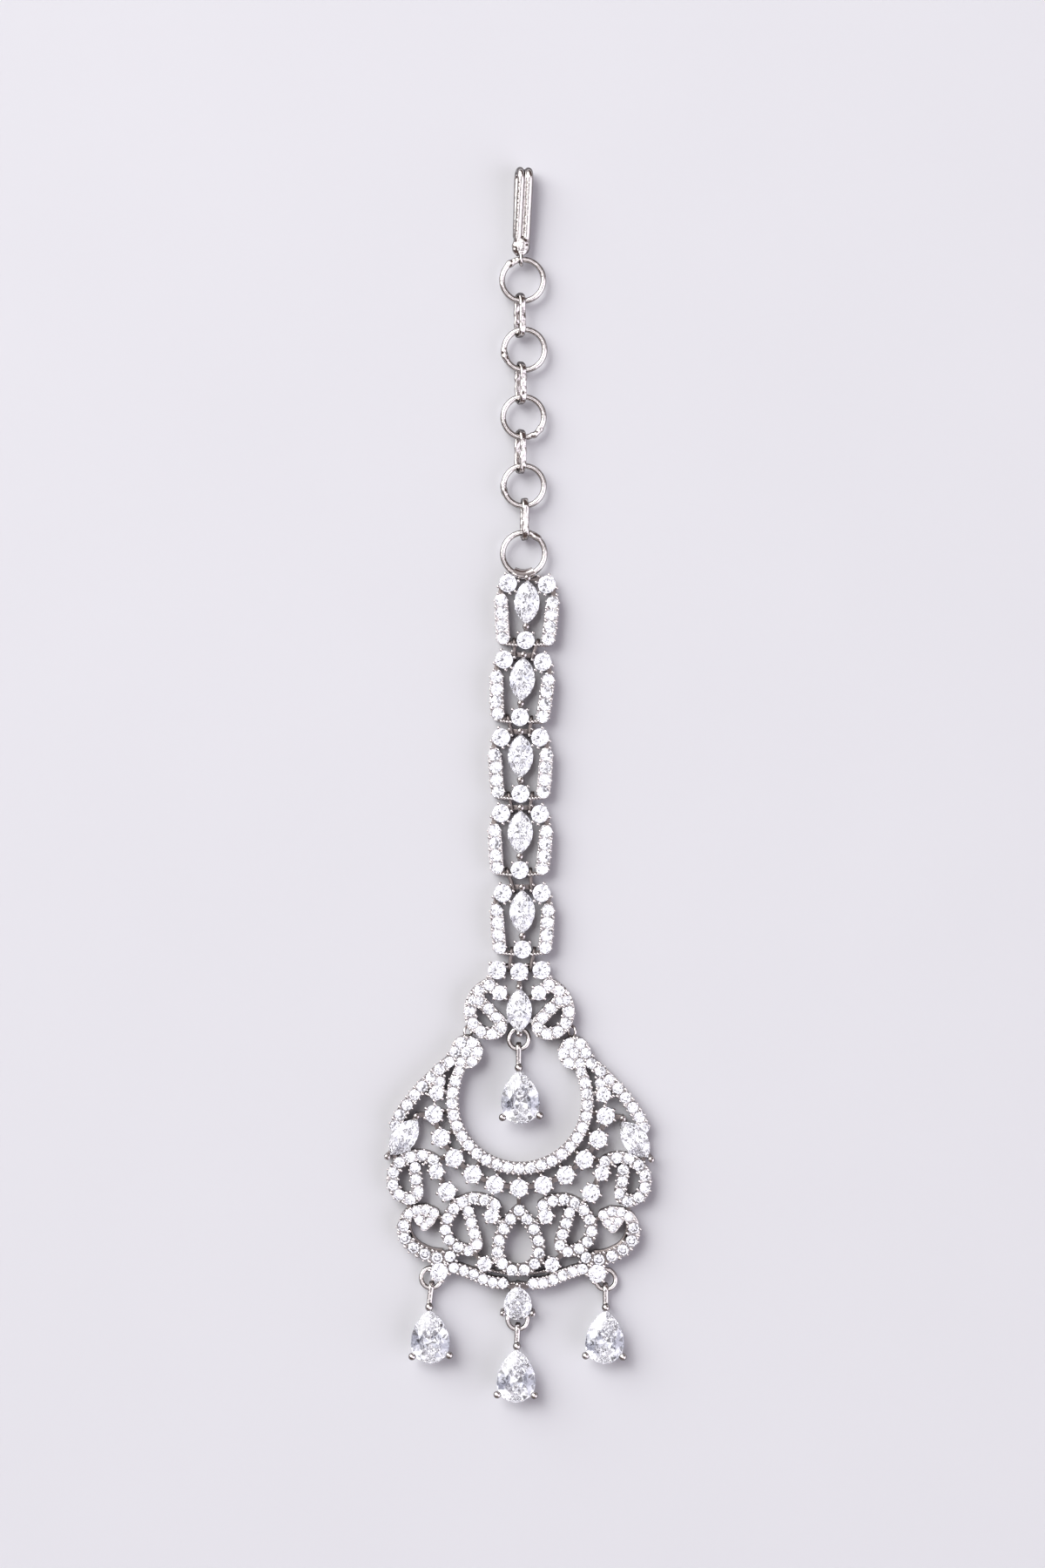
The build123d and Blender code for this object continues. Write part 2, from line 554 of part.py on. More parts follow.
def crescent_points():
    """The right half of the crescent's ring, from the bottom up."""
    end = 90 + CRESCENT_END
    return [polar(CRESCENT_RADIUS, turn) for turn in (0, end / 4, end / 2, 3 * end / 4, end)]


def row_points():
    """Centres of the row of rounds, on the right half."""
    return [polar(ROW_RADIUS, ROW_STEP * i) for i in range(ROW_HALF_COUNT + 1)]


def disc_points():
    """The seven stones of one horn's disc."""
    ring = [
        (DISC[0] + DISC_RING * sin(radians(60 * i + 30)), DISC[1] + DISC_RING * cos(radians(60 * i + 30)))
        for i in range(6)
    ]
    return ring + [DISC]


def round_settings():
    """All prong-set rounds of the pendant."""
    larger = mirrored(row_points() + [LONE_ROUND, ROSETTE])
    settings = [Setting(ROUND, point, 0) for point in larger]
    return settings + [Setting(SMALL_ROUND, point, 0) for point in mirrored(SMALL_ROUNDS)]


def side_marquise_setting(side):
    """The slanted marquise on one side; side is 1 on the right and -1 on the left."""
    place = (side * SIDE_MARQUISE_PLACE[0], SIDE_MARQUISE_PLACE[1])
    return Setting(SIDE_MARQUISE, place, side * SIDE_MARQUISE_TURN)


def pear_setting():
    """The small pear at the foot of the pendant."""
    return Setting(BASE_PEAR, PEAR_PLACE, 0)


def pendant_frame():
    """The pendant's casting: crescent, shoulders, scrolls, teardrop and swag, with all their collets."""
    paved = band(crescent_points()) + [at(DISC) * Circle(DISC_RADIUS)]
    seats = along(crescent_points(), CRESCENT_STONES) + disc_points()
    for row in ROWS:
        paved += band(row.points)
        seats += along(row.points, row.stones, row.share)
    paved += [bar(*piece) for piece in PLAIN_BARS] + [at(WEB_STONE) * Circle(WEB_EDGE)]
    seats.append(WEB_STONE)
    leaf = make_hull((Sketch() + [at(point) * Circle(LEAF_EDGE) for point in LEAF_STONES]).edges())
    struts = [bar(start, end) for start, end in STRUTS]
    struts += [bar(polar(CRESCENT_RADIUS, ROW_STEP * i), polar(ROW_RADIUS, ROW_STEP * i)) for i in range(6)]
    row_end = ROW_STEP * ROW_HALF_COUNT
    struts += band([polar(ROW_RADIUS, turn) for turn in (0, row_end / 2, row_end)], STRUT_WIDTH)
    for points in LEDGES:
        struts += band(points, LEDGE_WIDTH)
    settings = round_settings() + [side_marquise_setting(1), side_marquise_setting(-1), pear_setting()]
    side_z = SIDE_MARQUISE.girdle_z + PENDANT_PRONG_RISE
    pear_z = BASE_PEAR.girdle_z + PENDANT_PRONG_RISE
    posts = [prong(point, SIDE_PRONG_BEAD, side_z) for point in mirrored(SIDE_PRONGS)]
    posts += [prong(point, PEAR_PRONG_BEAD, pear_z) for point in PEAR_PRONGS]
    seat_groups = [(mirrored(seats), PAVE_SEAT, PAVE_BACK), (mirrored(LEAF_STONES), SMALL_SEAT, SMALL_BACK)]
    return casting(mirror_all(paved + [leaf]), seat_groups, settings, mirror_all(struts), (), posts)


# ------------------------------------------- loops between crown and pendant
CROWN_LOOP = (6.78, -32.35)
CROWN_LOOP_RADIUS = 0.72
CROWN_LOOP_WIRE = 0.38
CROWN_LOOP_Z = 1.0
CROWN_LOOP_YAW = 50


def crown_loop(side, wire):
    """The loop between a wing and a horn, half on edge, with its outer side up."""
    place = Pos(side * CROWN_LOOP[0], CROWN_LOOP[1], CROWN_LOOP_Z)
    return place * Rot(0, -side * CROWN_LOOP_YAW, 0) * Torus(CROWN_LOOP_RADIUS, wire / 2)


# -------------------------------------------------------------------- drops
Drop = namedtuple("Drop", "name ring bead turn")   # ring centre, top bead, turn of the pear to the left
DROPS = [
    Drop("inner", (-0.16, -33.35), (-0.16, -37.0), 2.9),
    Drop("left", (-11.6, -64.6), (-11.83, -68.2), 1.8),
    Drop("right", (11.2, -64.8), (11.2, -68.25), -1.8),
    Drop("centre", (-0.3, -70.0), (-0.4, -73.3), -1.2),
]
DROP_BEAD = 0.53             # radius of the bead over the pear
DROP_TIP_GAP = 0.38          # from the bead's centre to the pear's tip
DROP_PRONG = (2.42, -1.55)   # lower prongs' heads, from the pear's widest point
DROP_PRONG_FOOT = (1.2, -0.8)
DROP_PRONG_BEAD = 0.5
DROP_PRONG_RISE = 0.15       # the lower beads' centres over the girdle
DROP_ROD = 0.3               # radius of the lower prongs
DROP_TOP_ROD = 0.33          # radius of the top prong
DROP_RAIL = Stone(1.7, 3.0, 1.7, 0, 0, 0, 0)   # outline of the basket's base rail
DROP_RAIL_WALL = 0.5
DROP_RAIL_HEIGHT = 0.5
DROP_RING_LOW = 0.68         # height of the drop ring's wire where the pendant holds it
DROP_RING_HIGH = 0.95        # and where it carries the bail
BAIL_WIRE = 0.5
BAIL_WIDTH = 0.72
BAIL_HEIGHT = 2.0
BAIL_FOOT = 0.45             # the bail's lower bar is this far over the bead's centre


def drop_ring(drop, wire=DROP_WIRE):
    """The jump ring of a drop, tipped so that its lower side is a little higher."""
    tilt = degrees(atan2(DROP_RING_LOW - DROP_RING_HIGH, 2 * DROP_RING_RADIUS))
    return wire_ring(drop.ring, DROP_RING_RADIUS, wire, (DROP_RING_LOW + DROP_RING_HIGH) / 2, tilt)


def rod(start, end, radius):
    """A straight round rod between two points."""
    path = Line(start, end)
    return sweep(Plane(origin=start, z_dir=path % 0) * Circle(radius), path=path)


def drop_basket():
    """The pear's basket round its widest point: a base rail and three prongs with beads."""
    rail = outline(DROP_RAIL, 0) - outline(DROP_RAIL, DROP_RAIL_WALL)
    bead_y = DROP_PEAR.top + DROP_TIP_GAP
    rail_middle = DROP_RAIL_HEIGHT / 2
    solid = extrude(rail, DROP_RAIL_HEIGHT)
    top_foot = (0, DROP_RAIL.top - DROP_RAIL_WALL, rail_middle)
    solid += rod(top_foot, (0, bead_y, DROP_PEAR.girdle_z), DROP_TOP_ROD)
    solid += Pos(0, bead_y, DROP_PEAR.girdle_z) * Sphere(DROP_BEAD)
    for side in (-1, 1):
        foot = (side * DROP_PRONG_FOOT[0], DROP_PRONG_FOOT[1], rail_middle)
        head = (side * DROP_PRONG[0], DROP_PRONG[1], DROP_PEAR.girdle_z + DROP_PRONG_RISE)
        solid += rod(foot, head, DROP_ROD)
        solid += Pos(*head) * Sphere(DROP_PRONG_BEAD)
    return solid - cut_stone(DROP_PEAR, STONE_GAP)


def hang(solid, drop):
    """Puts a solid made round the pear's widest point under its bead."""
    under_bead = Pos(0, -DROP_PEAR.top - DROP_TIP_GAP)
    return Pos(*drop.bead) * Rot(0, 0, drop.turn) * under_bead * solid


def drop_setting(drop):
    """The pear's basket and the bail that runs on the jump ring."""
    ring_y = drop.ring[1] - DROP_RING_RADIUS
    top = (drop.ring[0], ring_y)
    foot = (drop.bead[0], drop.bead[1] + BAIL_FOOT)
    bail = oval_link(top, foot, BAIL_HEIGHT / 2, DROP_WIRE, BAIL_WIRE, BAIL_WIDTH, BAIL_HEIGHT)
    return hang(drop_basket(), drop) + bail


# ------------------------------------------------------------------- build
def pieces():
    """Every node's name and shape."""
    nodes = {"hair_hook": hair_hook()}
    for i, ring in enumerate(RINGS, 1):
        nodes[f"ring_{i}"] = chain_ring(ring)
    for i, (link, upper, lower) in enumerate(zip(CONNECTORS, RINGS, RINGS[1:]), 1):
        nodes[f"connector_{i}"] = connector(link, upper, lower)

    frame = link_frame()
    marquise, round_stone, small_round = cut_stone(MARQUISE), cut_stone(ROUND), cut_stone(SMALL_ROUND)
    link_rounds = [placed(round_stone, setting) for setting in link_settings()[1:]]
    for i, place in enumerate(LINKS, 1):
        nodes[f"link_frame_{i}"] = set_in_place(frame, place)
        nodes[f"link_marquise_{i}"] = set_in_place(marquise, place)
        nodes[f"link_rounds_{i}"] = Compound(children=[set_in_place(stone, place) for stone in link_rounds])
    nodes["link_frame_1"] = nodes["link_frame_1"] + top_sleeve() - clearance(RINGS[-1])

    tops = [(place, LOOP_X_BELOW, 0.0, LINK_TOP_BRIDGE) for place in LINKS[1:]]
    tops.append((CROWN, LOOP_X_CROWN, LOOP_SHIFT_CROWN, CROWN_BRIDGE))
    for i, (place, (below, x, shift, y)) in enumerate(zip(LINKS, tops), 1):
        upper_points = [link_point(place, (side * LOOP_X_ABOVE, LINK_BOTTOM_BRIDGE)) for side in (-1, 1)]
        lower_points = [link_point(below, (side * x + shift, y)) for side in (-1, 1)]
        nodes[f"link_loops_{i}"] = small_loops(upper_points, lower_points)

    stones = {MARQUISE: marquise, ROUND: round_stone, SMALL_ROUND: small_round}
    nodes["crown_frame"] = set_in_place(crown_frame(), CROWN)
    nodes["crown_marquise"] = set_in_place(marquise, CROWN)
    crown_rounds = [placed(stones[setting.stone], setting) for setting in crown_settings()[1:]]
    nodes["crown_rounds"] = Compound(children=[set_in_place(stone, CROWN) for stone in crown_rounds])

    nodes["pendant_frame"] = set_in_place(pendant_frame(), PENDANT)
    rounds = [placed(stones[setting.stone], setting) for setting in round_settings()]
    nodes["pendant_rounds"] = Compound(children=[set_in_place(stone, PENDANT) for stone in rounds])
    side_marquise = cut_stone(SIDE_MARQUISE)
    for side, name in ((-1, "left"), (1, "right")):
        stone = placed(side_marquise, side_marquise_setting(side))
        nodes[f"side_marquise_{name}"] = set_in_place(stone, PENDANT)
    nodes["base_pear"] = set_in_place(placed(cut_stone(BASE_PEAR), pear_setting()), PENDANT)

    for side, name in ((-1, "left"), (1, "right")):
        nodes[f"crown_loop_{name}"] = crown_loop(side, CROWN_LOOP_WIRE)
        space = crown_loop(side, CROWN_LOOP_WIRE + 2 * FIT)
        nodes["crown_frame"] -= space
        nodes["pendant_frame"] -= space

    pear = cut_stone(DROP_PEAR)
    for drop in DROPS:
        nodes[f"drop_ring_{drop.name}"] = drop_ring(drop)
        nodes[f"drop_setting_{drop.name}"] = drop_setting(drop)
        nodes[f"drop_stone_{drop.name}"] = hang(pear, drop)
        holder = "crown_frame" if drop.name == "inner" else "pendant_frame"
        nodes[holder] -= drop_ring(drop, DROP_WIRE + 2 * FIT)
    return nodes


os.makedirs("parts", exist_ok=True)
for name, shape in pieces().items():
    export_step(shape, f"parts/{name}.step")
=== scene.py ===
"""The finish of a rhodium-plated maang tikka: castings, wire, cut stones, pave, beads and prongs."""

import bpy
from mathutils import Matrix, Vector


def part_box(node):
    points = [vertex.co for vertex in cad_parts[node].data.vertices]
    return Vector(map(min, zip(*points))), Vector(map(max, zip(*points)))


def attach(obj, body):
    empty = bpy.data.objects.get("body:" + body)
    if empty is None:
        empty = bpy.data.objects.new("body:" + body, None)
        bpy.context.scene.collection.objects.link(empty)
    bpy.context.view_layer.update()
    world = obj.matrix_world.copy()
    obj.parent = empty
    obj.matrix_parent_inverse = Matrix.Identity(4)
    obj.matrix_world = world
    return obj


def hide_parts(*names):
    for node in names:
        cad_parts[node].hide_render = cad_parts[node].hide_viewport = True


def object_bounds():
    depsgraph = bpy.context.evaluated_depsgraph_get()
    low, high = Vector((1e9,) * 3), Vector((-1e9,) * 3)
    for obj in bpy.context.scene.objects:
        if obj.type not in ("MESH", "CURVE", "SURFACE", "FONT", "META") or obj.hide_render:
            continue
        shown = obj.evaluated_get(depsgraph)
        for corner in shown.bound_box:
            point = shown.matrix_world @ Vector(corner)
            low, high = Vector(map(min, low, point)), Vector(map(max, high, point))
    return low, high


bl_info = {
    "name": "Maang tikka finish",
    "version": (1, 0, 0),
    "blender": (4, 5, 0),
    "location": "3D View > Sidebar > Tikka",
    "description": "Plated castings, soldered wire, cut stones and their settings, on a pale studio floor",
    "category": "Object",
}

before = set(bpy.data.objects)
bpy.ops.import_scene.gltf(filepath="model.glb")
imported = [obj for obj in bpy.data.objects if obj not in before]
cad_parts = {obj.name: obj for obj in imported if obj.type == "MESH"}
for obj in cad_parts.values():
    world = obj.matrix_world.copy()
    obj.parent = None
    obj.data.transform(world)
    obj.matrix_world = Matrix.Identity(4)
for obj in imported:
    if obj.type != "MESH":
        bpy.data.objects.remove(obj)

from collections import namedtuple
from math import atan2, cos, degrees, pi, radians, sin

import bmesh
import bpy
from mathutils import Euler, Matrix, Vector, noise
from mathutils.bvhtree import BVHTree
from mathutils.kdtree import KDTree

CAD_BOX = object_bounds()
MM = 0.001
TO_MM = Matrix.Scale(1 / MM, 4)
TO_M = Matrix.Scale(MM, 4)
UP = Vector((0, 0, 1))
BOUNCES = 24   # light turns this often inside a cut stone before it comes out

# heights and widths by which a casting's parts are told apart, in mm
BACK_TOP = 0.02       # the open back is under this
SEAT_FLOOR = 1.21     # the drilled holes end under this
LAND_BOTTOM = 1.8     # the lands between pave stones are over this
HOLE_WIDTHS = (0.5, 0.95)
HOLE_ROUNDNESS = 0.06   # what the reaches of a round hole's corners differ by at most
HOLE_OVALNESS = 0.05    # what its length and width differ by at most, over the larger
HOLE_CORNERS = 11       # least number of its corners
SAME_PLACE = 0.35       # a hole nearer than this to a set round is that round's own
SEAT_TO_HOLE = 1.75   # a little over a pave seat's radius, over that of the hole behind it
UNDER_STONE = 0.72    # share of a stone's radius within which the metal is its seat
BESIDE_STONE = 1.35   # share of a stone's radius within which a land is cut bright
NEAR_STONE = 4.0      # share of a stone's radius within which a rim belongs to a pave band
INSIDE_STONE = 0.85   # share of a stone's radius within which edges stay sharp
LIFT = 0.05           # how far over a face a sight line starts, in mm
STEEP, LEVEL = 0.5, 0.95   # what a wall's upward slope stays under, and a land's over
DRILLED, RIM_WALL = 0.1, 0.3   # most slope of a drilled hole's wall, and of a rim's
AT_GIRDLE = 0.98      # share of a round's reach beyond which its corners are on the girdle
FLAT = radians(0.6)   # corners flatter than this are dissolved
SHARP = radians(40)   # edges sharper than this are rounded

# pave stones and their beads
LEAST_TO_HOLE = 1.6   # least radius of a pave stone, over its hole's
STONE_GAP = 0.01      # between neighbours, in mm
NEIGHBOURS = 1.22     # stones nearer than this, over the sum of their radii, share beads
BEAD_CLEAR = 0.25     # least gap between a bead's middle and a stone, over the bead's radius
BEADS_APART = 1.6     # least distance between two beads' middles, over their radius
FLANK_CLEAR = 0.3     # gap between a small bead's middle and a stone, over the bead's radius
BEAD_METAL = 1.5      # least height of the metal under a bead between stones, in mm
BEAD_ASIDE = 0.35     # how far beside such metal it may stand, in mm
ROW_METAL = 0.5       # least height of the metal under a bead in a row, in mm
PRONG_BITE = 0.05     # how far a prong may stand over a pave stone, in mm

# finishes of a casting, in the order of its material slots
# the satin finish is darker than unpolished plating: partly painted shade on walls and low lands
PLATED, SATIN_AND_PAINTED_SHADE, BRIGHT_CUT, OPEN_BACK, FOIL = range(5)

LINKS = range(1, 6)
CASTINGS = [f"link_frame_{i}" for i in LINKS] + ["crown_frame", "pendant_frame"]
ROUNDS = [f"link_rounds_{i}" for i in LINKS] + ["crown_rounds", "pendant_rounds"]
DROPS = ["inner", "left", "right", "centre"]
COLLET_GEMS = [f"link_marquise_{i}" for i in LINKS] + [
    "crown_marquise", "side_marquise_left", "side_marquise_right", "base_pear",
]
LARGE_GEMS = COLLET_GEMS + [f"drop_stone_{name}" for name in DROPS]

# a wire's remeshing step in mm, the azimuth of its solder seam, and the depth of its hammer dents in mm
Wire = namedtuple("Wire", "node voxel seam hammer")
WIRES = [
    Wire("ring_1", 0.085, 118, 0.0), Wire("ring_2", 0.085, 196, 0.0), Wire("ring_3", 0.085, -48, 0.0),
    Wire("ring_4", 0.085, 190, 0.0), Wire("ring_5", 0.085, 60, 0.0),
]
WIRES += [Wire(f"connector_{i}", 0.06, None, 0.1) for i in range(1, 5)]
WIRES += [Wire(f"link_loops_{i}", 0.07, None, 0.0) for i in LINKS]
WIRES += [Wire(f"crown_loop_{side}", 0.06, None, 0.0) for side in ("left", "right")]
WIRES += [Wire(f"drop_ring_{name}", 0.07, None, 0.0) for name in DROPS]
WIRES += [Wire(f"drop_setting_{name}", 0.07, None, 0.0) for name in DROPS]
HOOK = Wire("hair_hook", 0.09, None, 0.0)
SEAM_SPREAD = 24     # degrees of the ring to each side of a solder seam
SEAM_DEPTH = 0.16    # how uneven the solder is, in mm
EYE_LENGTH = 3.97    # length of the soldered end of the hook, in mm
EYE_FADE = 1.2       # over which its unevenness sets in, in mm
EYE_DEPTH = 0.13     # how uneven it is, in mm


def linear(code, alpha=1.0):
    """A colour written as sRGB hex, as linear values."""
    values = [int(code[i : i + 2], 16) / 255 for i in (1, 3, 5)]
    return tuple(v / 12.92 if v <= 0.04045 else ((v + 0.055) / 1.055) ** 2.4 for v in values) + (alpha,)


def colour(name, description, code):
    """A colour setting with its default."""
    return bpy.props.FloatVectorProperty(
        name=name, description=description, default=linear(code), size=4, subtype="COLOR", min=0, max=1,
    )


def size(name, description, default):
    """A length setting in millimetres."""
    return bpy.props.FloatProperty(name=name, description=description + ", in mm", default=default, min=0)


def share(name, description, default, top=10.0):
    """A setting with no unit."""
    return bpy.props.FloatProperty(name=name, description=description, default=default, min=0, max=top)


# ---------------------------------------------------------------- settings
class TikkaMetal(bpy.types.PropertyGroup):
    plating: colour("Plating", "Colour of the rhodium plating", "#F2EFEE")
    wire: colour("Wire", "Colour of the plated wire", "#E2DDDA")
    # the walls' dark grey is partly painted shade, for the gaps, the low lands and the loops between links
    walls: colour("Walls", "Colour of the castings' unpolished sides", "#7A7371")
    back: colour("Back", "Colour of the castings' unpolished back", "#A7A19F")
    roughness: share("Roughness", "Roughness of the polished plating", 0.09, 1.0)
    grain: size("Grain", "Size of the fine cast texture", 0.22)
    grain_depth: size("Grain depth", "Depth of the cast texture", 0.006)
    edge: size("Edge", "Rounding of the castings' edges", 0.06)
    draw_in: size("Rim", "How far the rims are drawn in towards the pave", 0.1)
    smooth: bpy.props.FloatProperty(
        name="Smooth angle", description="Edges flatter than this are smooth", default=radians(35),
        subtype="ANGLE",
    )


class TikkaStones(bpy.types.PropertyGroup):
    tint: colour("Tint", "Colour of the clear stones", "#FBFBFF")
    large: colour("Large stones", "Tint of the marquises and pears", "#FAFAFD")
    # the greyer places and the drops' bow tie are painted shade in the stones' colour, standing in for facets
    # that show the dark room
    depth: colour("Depth", "Their greyer places", "#D6D8E4")
    shade: colour("Bow tie", "The darker places of the drops", "#8E909C")
    painted_bow_tie_share: share("Bow tie share", "How much the bow tie adds to the greyer places", 0.28, 1.0)
    painted_bow_tie_height: share("Bow tie height", "Height over the drop's wide end, over its length", 0.42, 1.0)
    ior: share("IOR", "Refraction of cubic zirconia", 2.15)


class TikkaPave(bpy.types.PropertyGroup):
    hole_ratio: share("Stone to hole", "Most radius of a pave stone, over its hole's radius", 2.35)
    girdle_z: size("Girdle height", "Height of the pave stones' girdles", 2.0)
    crown: share("Crown", "Height over the girdle, over the radius", 0.34)
    pavilion: share("Pavilion", "Depth under the girdle, over the radius", 0.86)
    table: share("Table", "Width of the flat top, over the girdle's", 0.58, 1.0)
    tilt: bpy.props.FloatProperty(
        name="Tilt", description="Most that a stone leans in its seat", default=radians(4),
        subtype="ANGLE",
    )


class TikkaBeads(bpy.types.PropertyGroup):
    bead: size("Bead", "Radius of the beads between pave stones", 0.24)
    small: size("Small bead", "Radius of the smaller beads at the stones' flanks", 0.15)
    bead_z: size("Bead height", "Height of those beads' centres", 2.02)
    bead_offset: share("Bead offset", "Distance from the stones' line, over the stones' radius", 0.9)
    dome: share("Dome", "Height of a bead over its centre, over its radius", 0.7)
    prong: size("Prong", "Radius of the corner prongs' heads", 0.27)
    prong_rise: size("Prong rise", "Height of the heads' centres over the girdle", 0.1)
    prong_out: size("Prong distance", "How far the heads' centres lie outside the girdle", 0.08)


class TikkaStage(bpy.types.PropertyGroup):
    floor: colour("Floor", "Colour of the floor", "#E9E9ED")
    sky: colour("Softbox", "Colour of the light overhead", "#FFFFFF")
    ceiling: colour("Ceiling", "Colour of the room straight overhead", "#3E3C42")
    panel: colour("Panel", "Colour that metal reflects from round the camera", "#B4B2B6")
    overhead: colour("Overhead", "Colour that metal reflects from the camera's own shade", "#615E62")
    fill: colour("Fill", "Colour of the weaker light on the right", "#B6B2BC")
    horizon: colour("Horizon", "Colour of the room low down", "#332B2A")
    sky_strength: share("Room light", "Strength of the room's light", 3.45)
    stone_glow: share("Backdrop in stones", "Share of the pale backdrop that the clear stones show", 0.9, 1.0)
    stone_bright: share("Bright in stones", "Strength of the backdrop's bright places, seen in stones", 1.8)
    stone_dark: share("Dark in stones", "Strength of the gaps between them", 0.25)
    camera_height: bpy.props.FloatProperty(
        name="Camera height", description="Height of the camera over the floor", default=0.4338,
        unit="LENGTH",
    )
    camera_side: bpy.props.FloatProperty(
        name="Camera side", description="How far right of the middle the camera stands", default=0.00034,
        unit="LENGTH",
    )
    lens: bpy.props.FloatProperty(name="Lens", description="Focal length in mm", default=76.0)
    lamp_watts: bpy.props.FloatProperty(name="Lamp", description="Power of the soft lamp", default=1.0)


# --------------------------------------------------------------- materials
def add_node(tree, kind, inputs=None, **settings):
    """Adds a node with its settings. An input is a value, or the socket that it is linked to."""
    made = tree.nodes.new(kind)
    for name, value in settings.items():
        setattr(made, name, value)
    for name, value in (inputs or {}).items():
        if isinstance(value, bpy.types.NodeSocket):
            tree.links.new(value, made.inputs[name])
        else:
            made.inputs[name].default_value = value
    return made


def new_material(name):
    """An empty node material with its output."""
    material = bpy.data.materials.get(name)
    if material:
        return material, None, None
    material = bpy.data.materials.new(name)
    material.use_nodes = True
    material.node_tree.nodes.clear()
    output = add_node(material.node_tree, "ShaderNodeOutputMaterial")
    return material, material.node_tree, output


def plated_metal(name="polished_rhodium_plating"):
    """Cast brass, tumbled, polished and plated with rhodium: a bright neutral mirror with a trace of
    orange peel from the casting, and polish that varies a little from place to place."""
    metal = bpy.context.scene.tikka_metal
    material, tree, output = new_material(name)
    if tree is None:
        return material
    place = add_node(tree, "ShaderNodeTexCoord").outputs["Object"]
    clouds = add_node(tree, "ShaderNodeTexNoise", {"Vector": place, "Scale": 1 / (3.0 * MM), "Detail": 3.0})
    rough = add_node(
        tree, "ShaderNodeMapRange",
        {
            "Value": clouds.outputs["Fac"], "From Min": 0.35, "From Max": 0.65,
            "To Min": 0.6 * metal.roughness, "To Max": 1.5 * metal.roughness,
        },
    )
    tone = add_node(
        tree, "ShaderNodeMix",
        {"Factor": clouds.outputs["Fac"], "A": metal.plating, "B": linear("#DAD3D0")}, data_type="RGBA",
    )
    grain = add_node(
        tree, "ShaderNodeTexNoise",
        {"Vector": place, "Scale": 1 / (metal.grain * MM), "Detail": 2.0},
    )
    bump = add_node(
        tree, "ShaderNodeBump",
        {"Height": grain.outputs["Fac"], "Strength": 1.0, "Distance": metal.grain_depth * MM},
    )
    shader = add_node(
        tree, "ShaderNodeBsdfPrincipled",
        {
            "Base Color": tone.outputs["Result"], "Metallic": 1.0, "Roughness": rough.outputs["Result"],
            "Normal": bump.outputs["Normal"],
        },
    )
    tree.links.new(shader.outputs["BSDF"], output.inputs["Surface"])
    return material


def wire_metal(name="tumbled_rhodium_wire"):
    """Drawn brass wire, tumbled and plated: a little greyer and browner than the polished castings, with fine
    dents about 0.5 mm apart. Its colour is painted darker towards its outline, where the surface turns from
    the view, on every side: painted shade for the dark room that the wire's flanks reflect."""
    metal = bpy.context.scene.tikka_metal
    material, tree, output = new_material(name)
    if tree is None:
        return material
    place = add_node(tree, "ShaderNodeTexCoord").outputs["Object"]
    slant = add_node(tree, "ShaderNodeLayerWeight", {"Blend": 0.5})
    painted_outline_shade = add_node(
        tree, "ShaderNodeMapRange", {"Value": slant.outputs["Facing"], "From Min": 0.25, "From Max": 0.6},
        interpolation_type="SMOOTHSTEP",
    )
    # painted shade: the wire's colour turns dark brown-grey towards its outline, whatever the view
    tone = add_node(
        tree, "ShaderNodeMix",
        {"Factor": painted_outline_shade.outputs["Result"], "A": metal.wire, "B": linear("#56504E")}, data_type="RGBA",
    )
    dents = add_node(tree, "ShaderNodeTexNoise", {"Vector": place, "Scale": 1 / (0.5 * MM), "Detail": 2.0})
    bump = add_node(
        tree, "ShaderNodeBump", {"Height": dents.outputs["Fac"], "Strength": 1.0, "Distance": 0.05 * MM},
    )
    shader = add_node(
        tree, "ShaderNodeBsdfPrincipled",
        {
            "Base Color": tone.outputs["Result"], "Metallic": 1.0, "Roughness": metal.roughness,
            "Normal": bump.outputs["Normal"],
        },
    )
    tree.links.new(shader.outputs["BSDF"], output.inputs["Surface"])
    return material


def foil(name="silver_foil_behind_stones"):
    """Matt silver foil in the closed collets, which sends the light back through the stone evenly."""
    material, tree, output = new_material(name)
    if tree is None:
        return material
    place = add_node(tree, "ShaderNodeTexCoord").outputs["Object"]
    creases = add_node(tree, "ShaderNodeTexNoise", {"Vector": place, "Scale": 1 / (0.6 * MM), "Detail": 2.0})
    tone = add_node(
        tree, "ShaderNodeMix",
        {"Factor": creases.outputs["Fac"], "A": linear("#FCFCFF"), "B": linear("#E4E4EC")}, data_type="RGBA",
    )
    shader = add_node(
        tree, "ShaderNodeBsdfPrincipled",
        {"Base Color": tone.outputs["Result"], "Metallic": 0.4, "Roughness": 0.5},
    )
    tree.links.new(shader.outputs["BSDF"], output.inputs["Surface"])
    return material


def satin_and_painted_shade_metal(name="unpolished_cast_sides_and_painted_shade", deep=True):
    """The same casting where the polishing wheel doesn't reach: plated over a fine sandy skin, so that it
    looks grey and dull, a little darker in patches. The sides are darker than the open back, and darker than
    the skin alone would make them: partly painted shade, for the walls of the gaps, the low lands between
    pave stones and the loops between the links."""
    metal = bpy.context.scene.tikka_metal
    material, tree, output = new_material(name)
    if tree is None:
        return material
    place = add_node(tree, "ShaderNodeTexCoord").outputs["Object"]
    clouds = add_node(tree, "ShaderNodeTexNoise", {"Vector": place, "Scale": 1 / (0.9 * MM), "Detail": 4.0})
    tone = add_node(
        tree, "ShaderNodeMix",
        {
            "Factor": clouds.outputs["Fac"], "A": metal.walls if deep else metal.back,
            "B": linear("#8B8280" if deep else "#C9C4C2"),
        },
        data_type="RGBA",
    )
    skin = add_node(tree, "ShaderNodeTexNoise", {"Vector": place, "Scale": 1 / (0.12 * MM), "Detail": 3.0})
    bump = add_node(
        tree, "ShaderNodeBump", {"Height": skin.outputs["Fac"], "Strength": 1.0, "Distance": 0.02 * MM},
    )
    shader = add_node(
        tree, "ShaderNodeBsdfPrincipled",
        {
            "Base Color": tone.outputs["Result"], "Metallic": 1.0, "Roughness": 0.4,
            "Normal": bump.outputs["Normal"],
        },
    )
    tree.links.new(shader.outputs["BSDF"], output.inputs["Surface"])
    return material


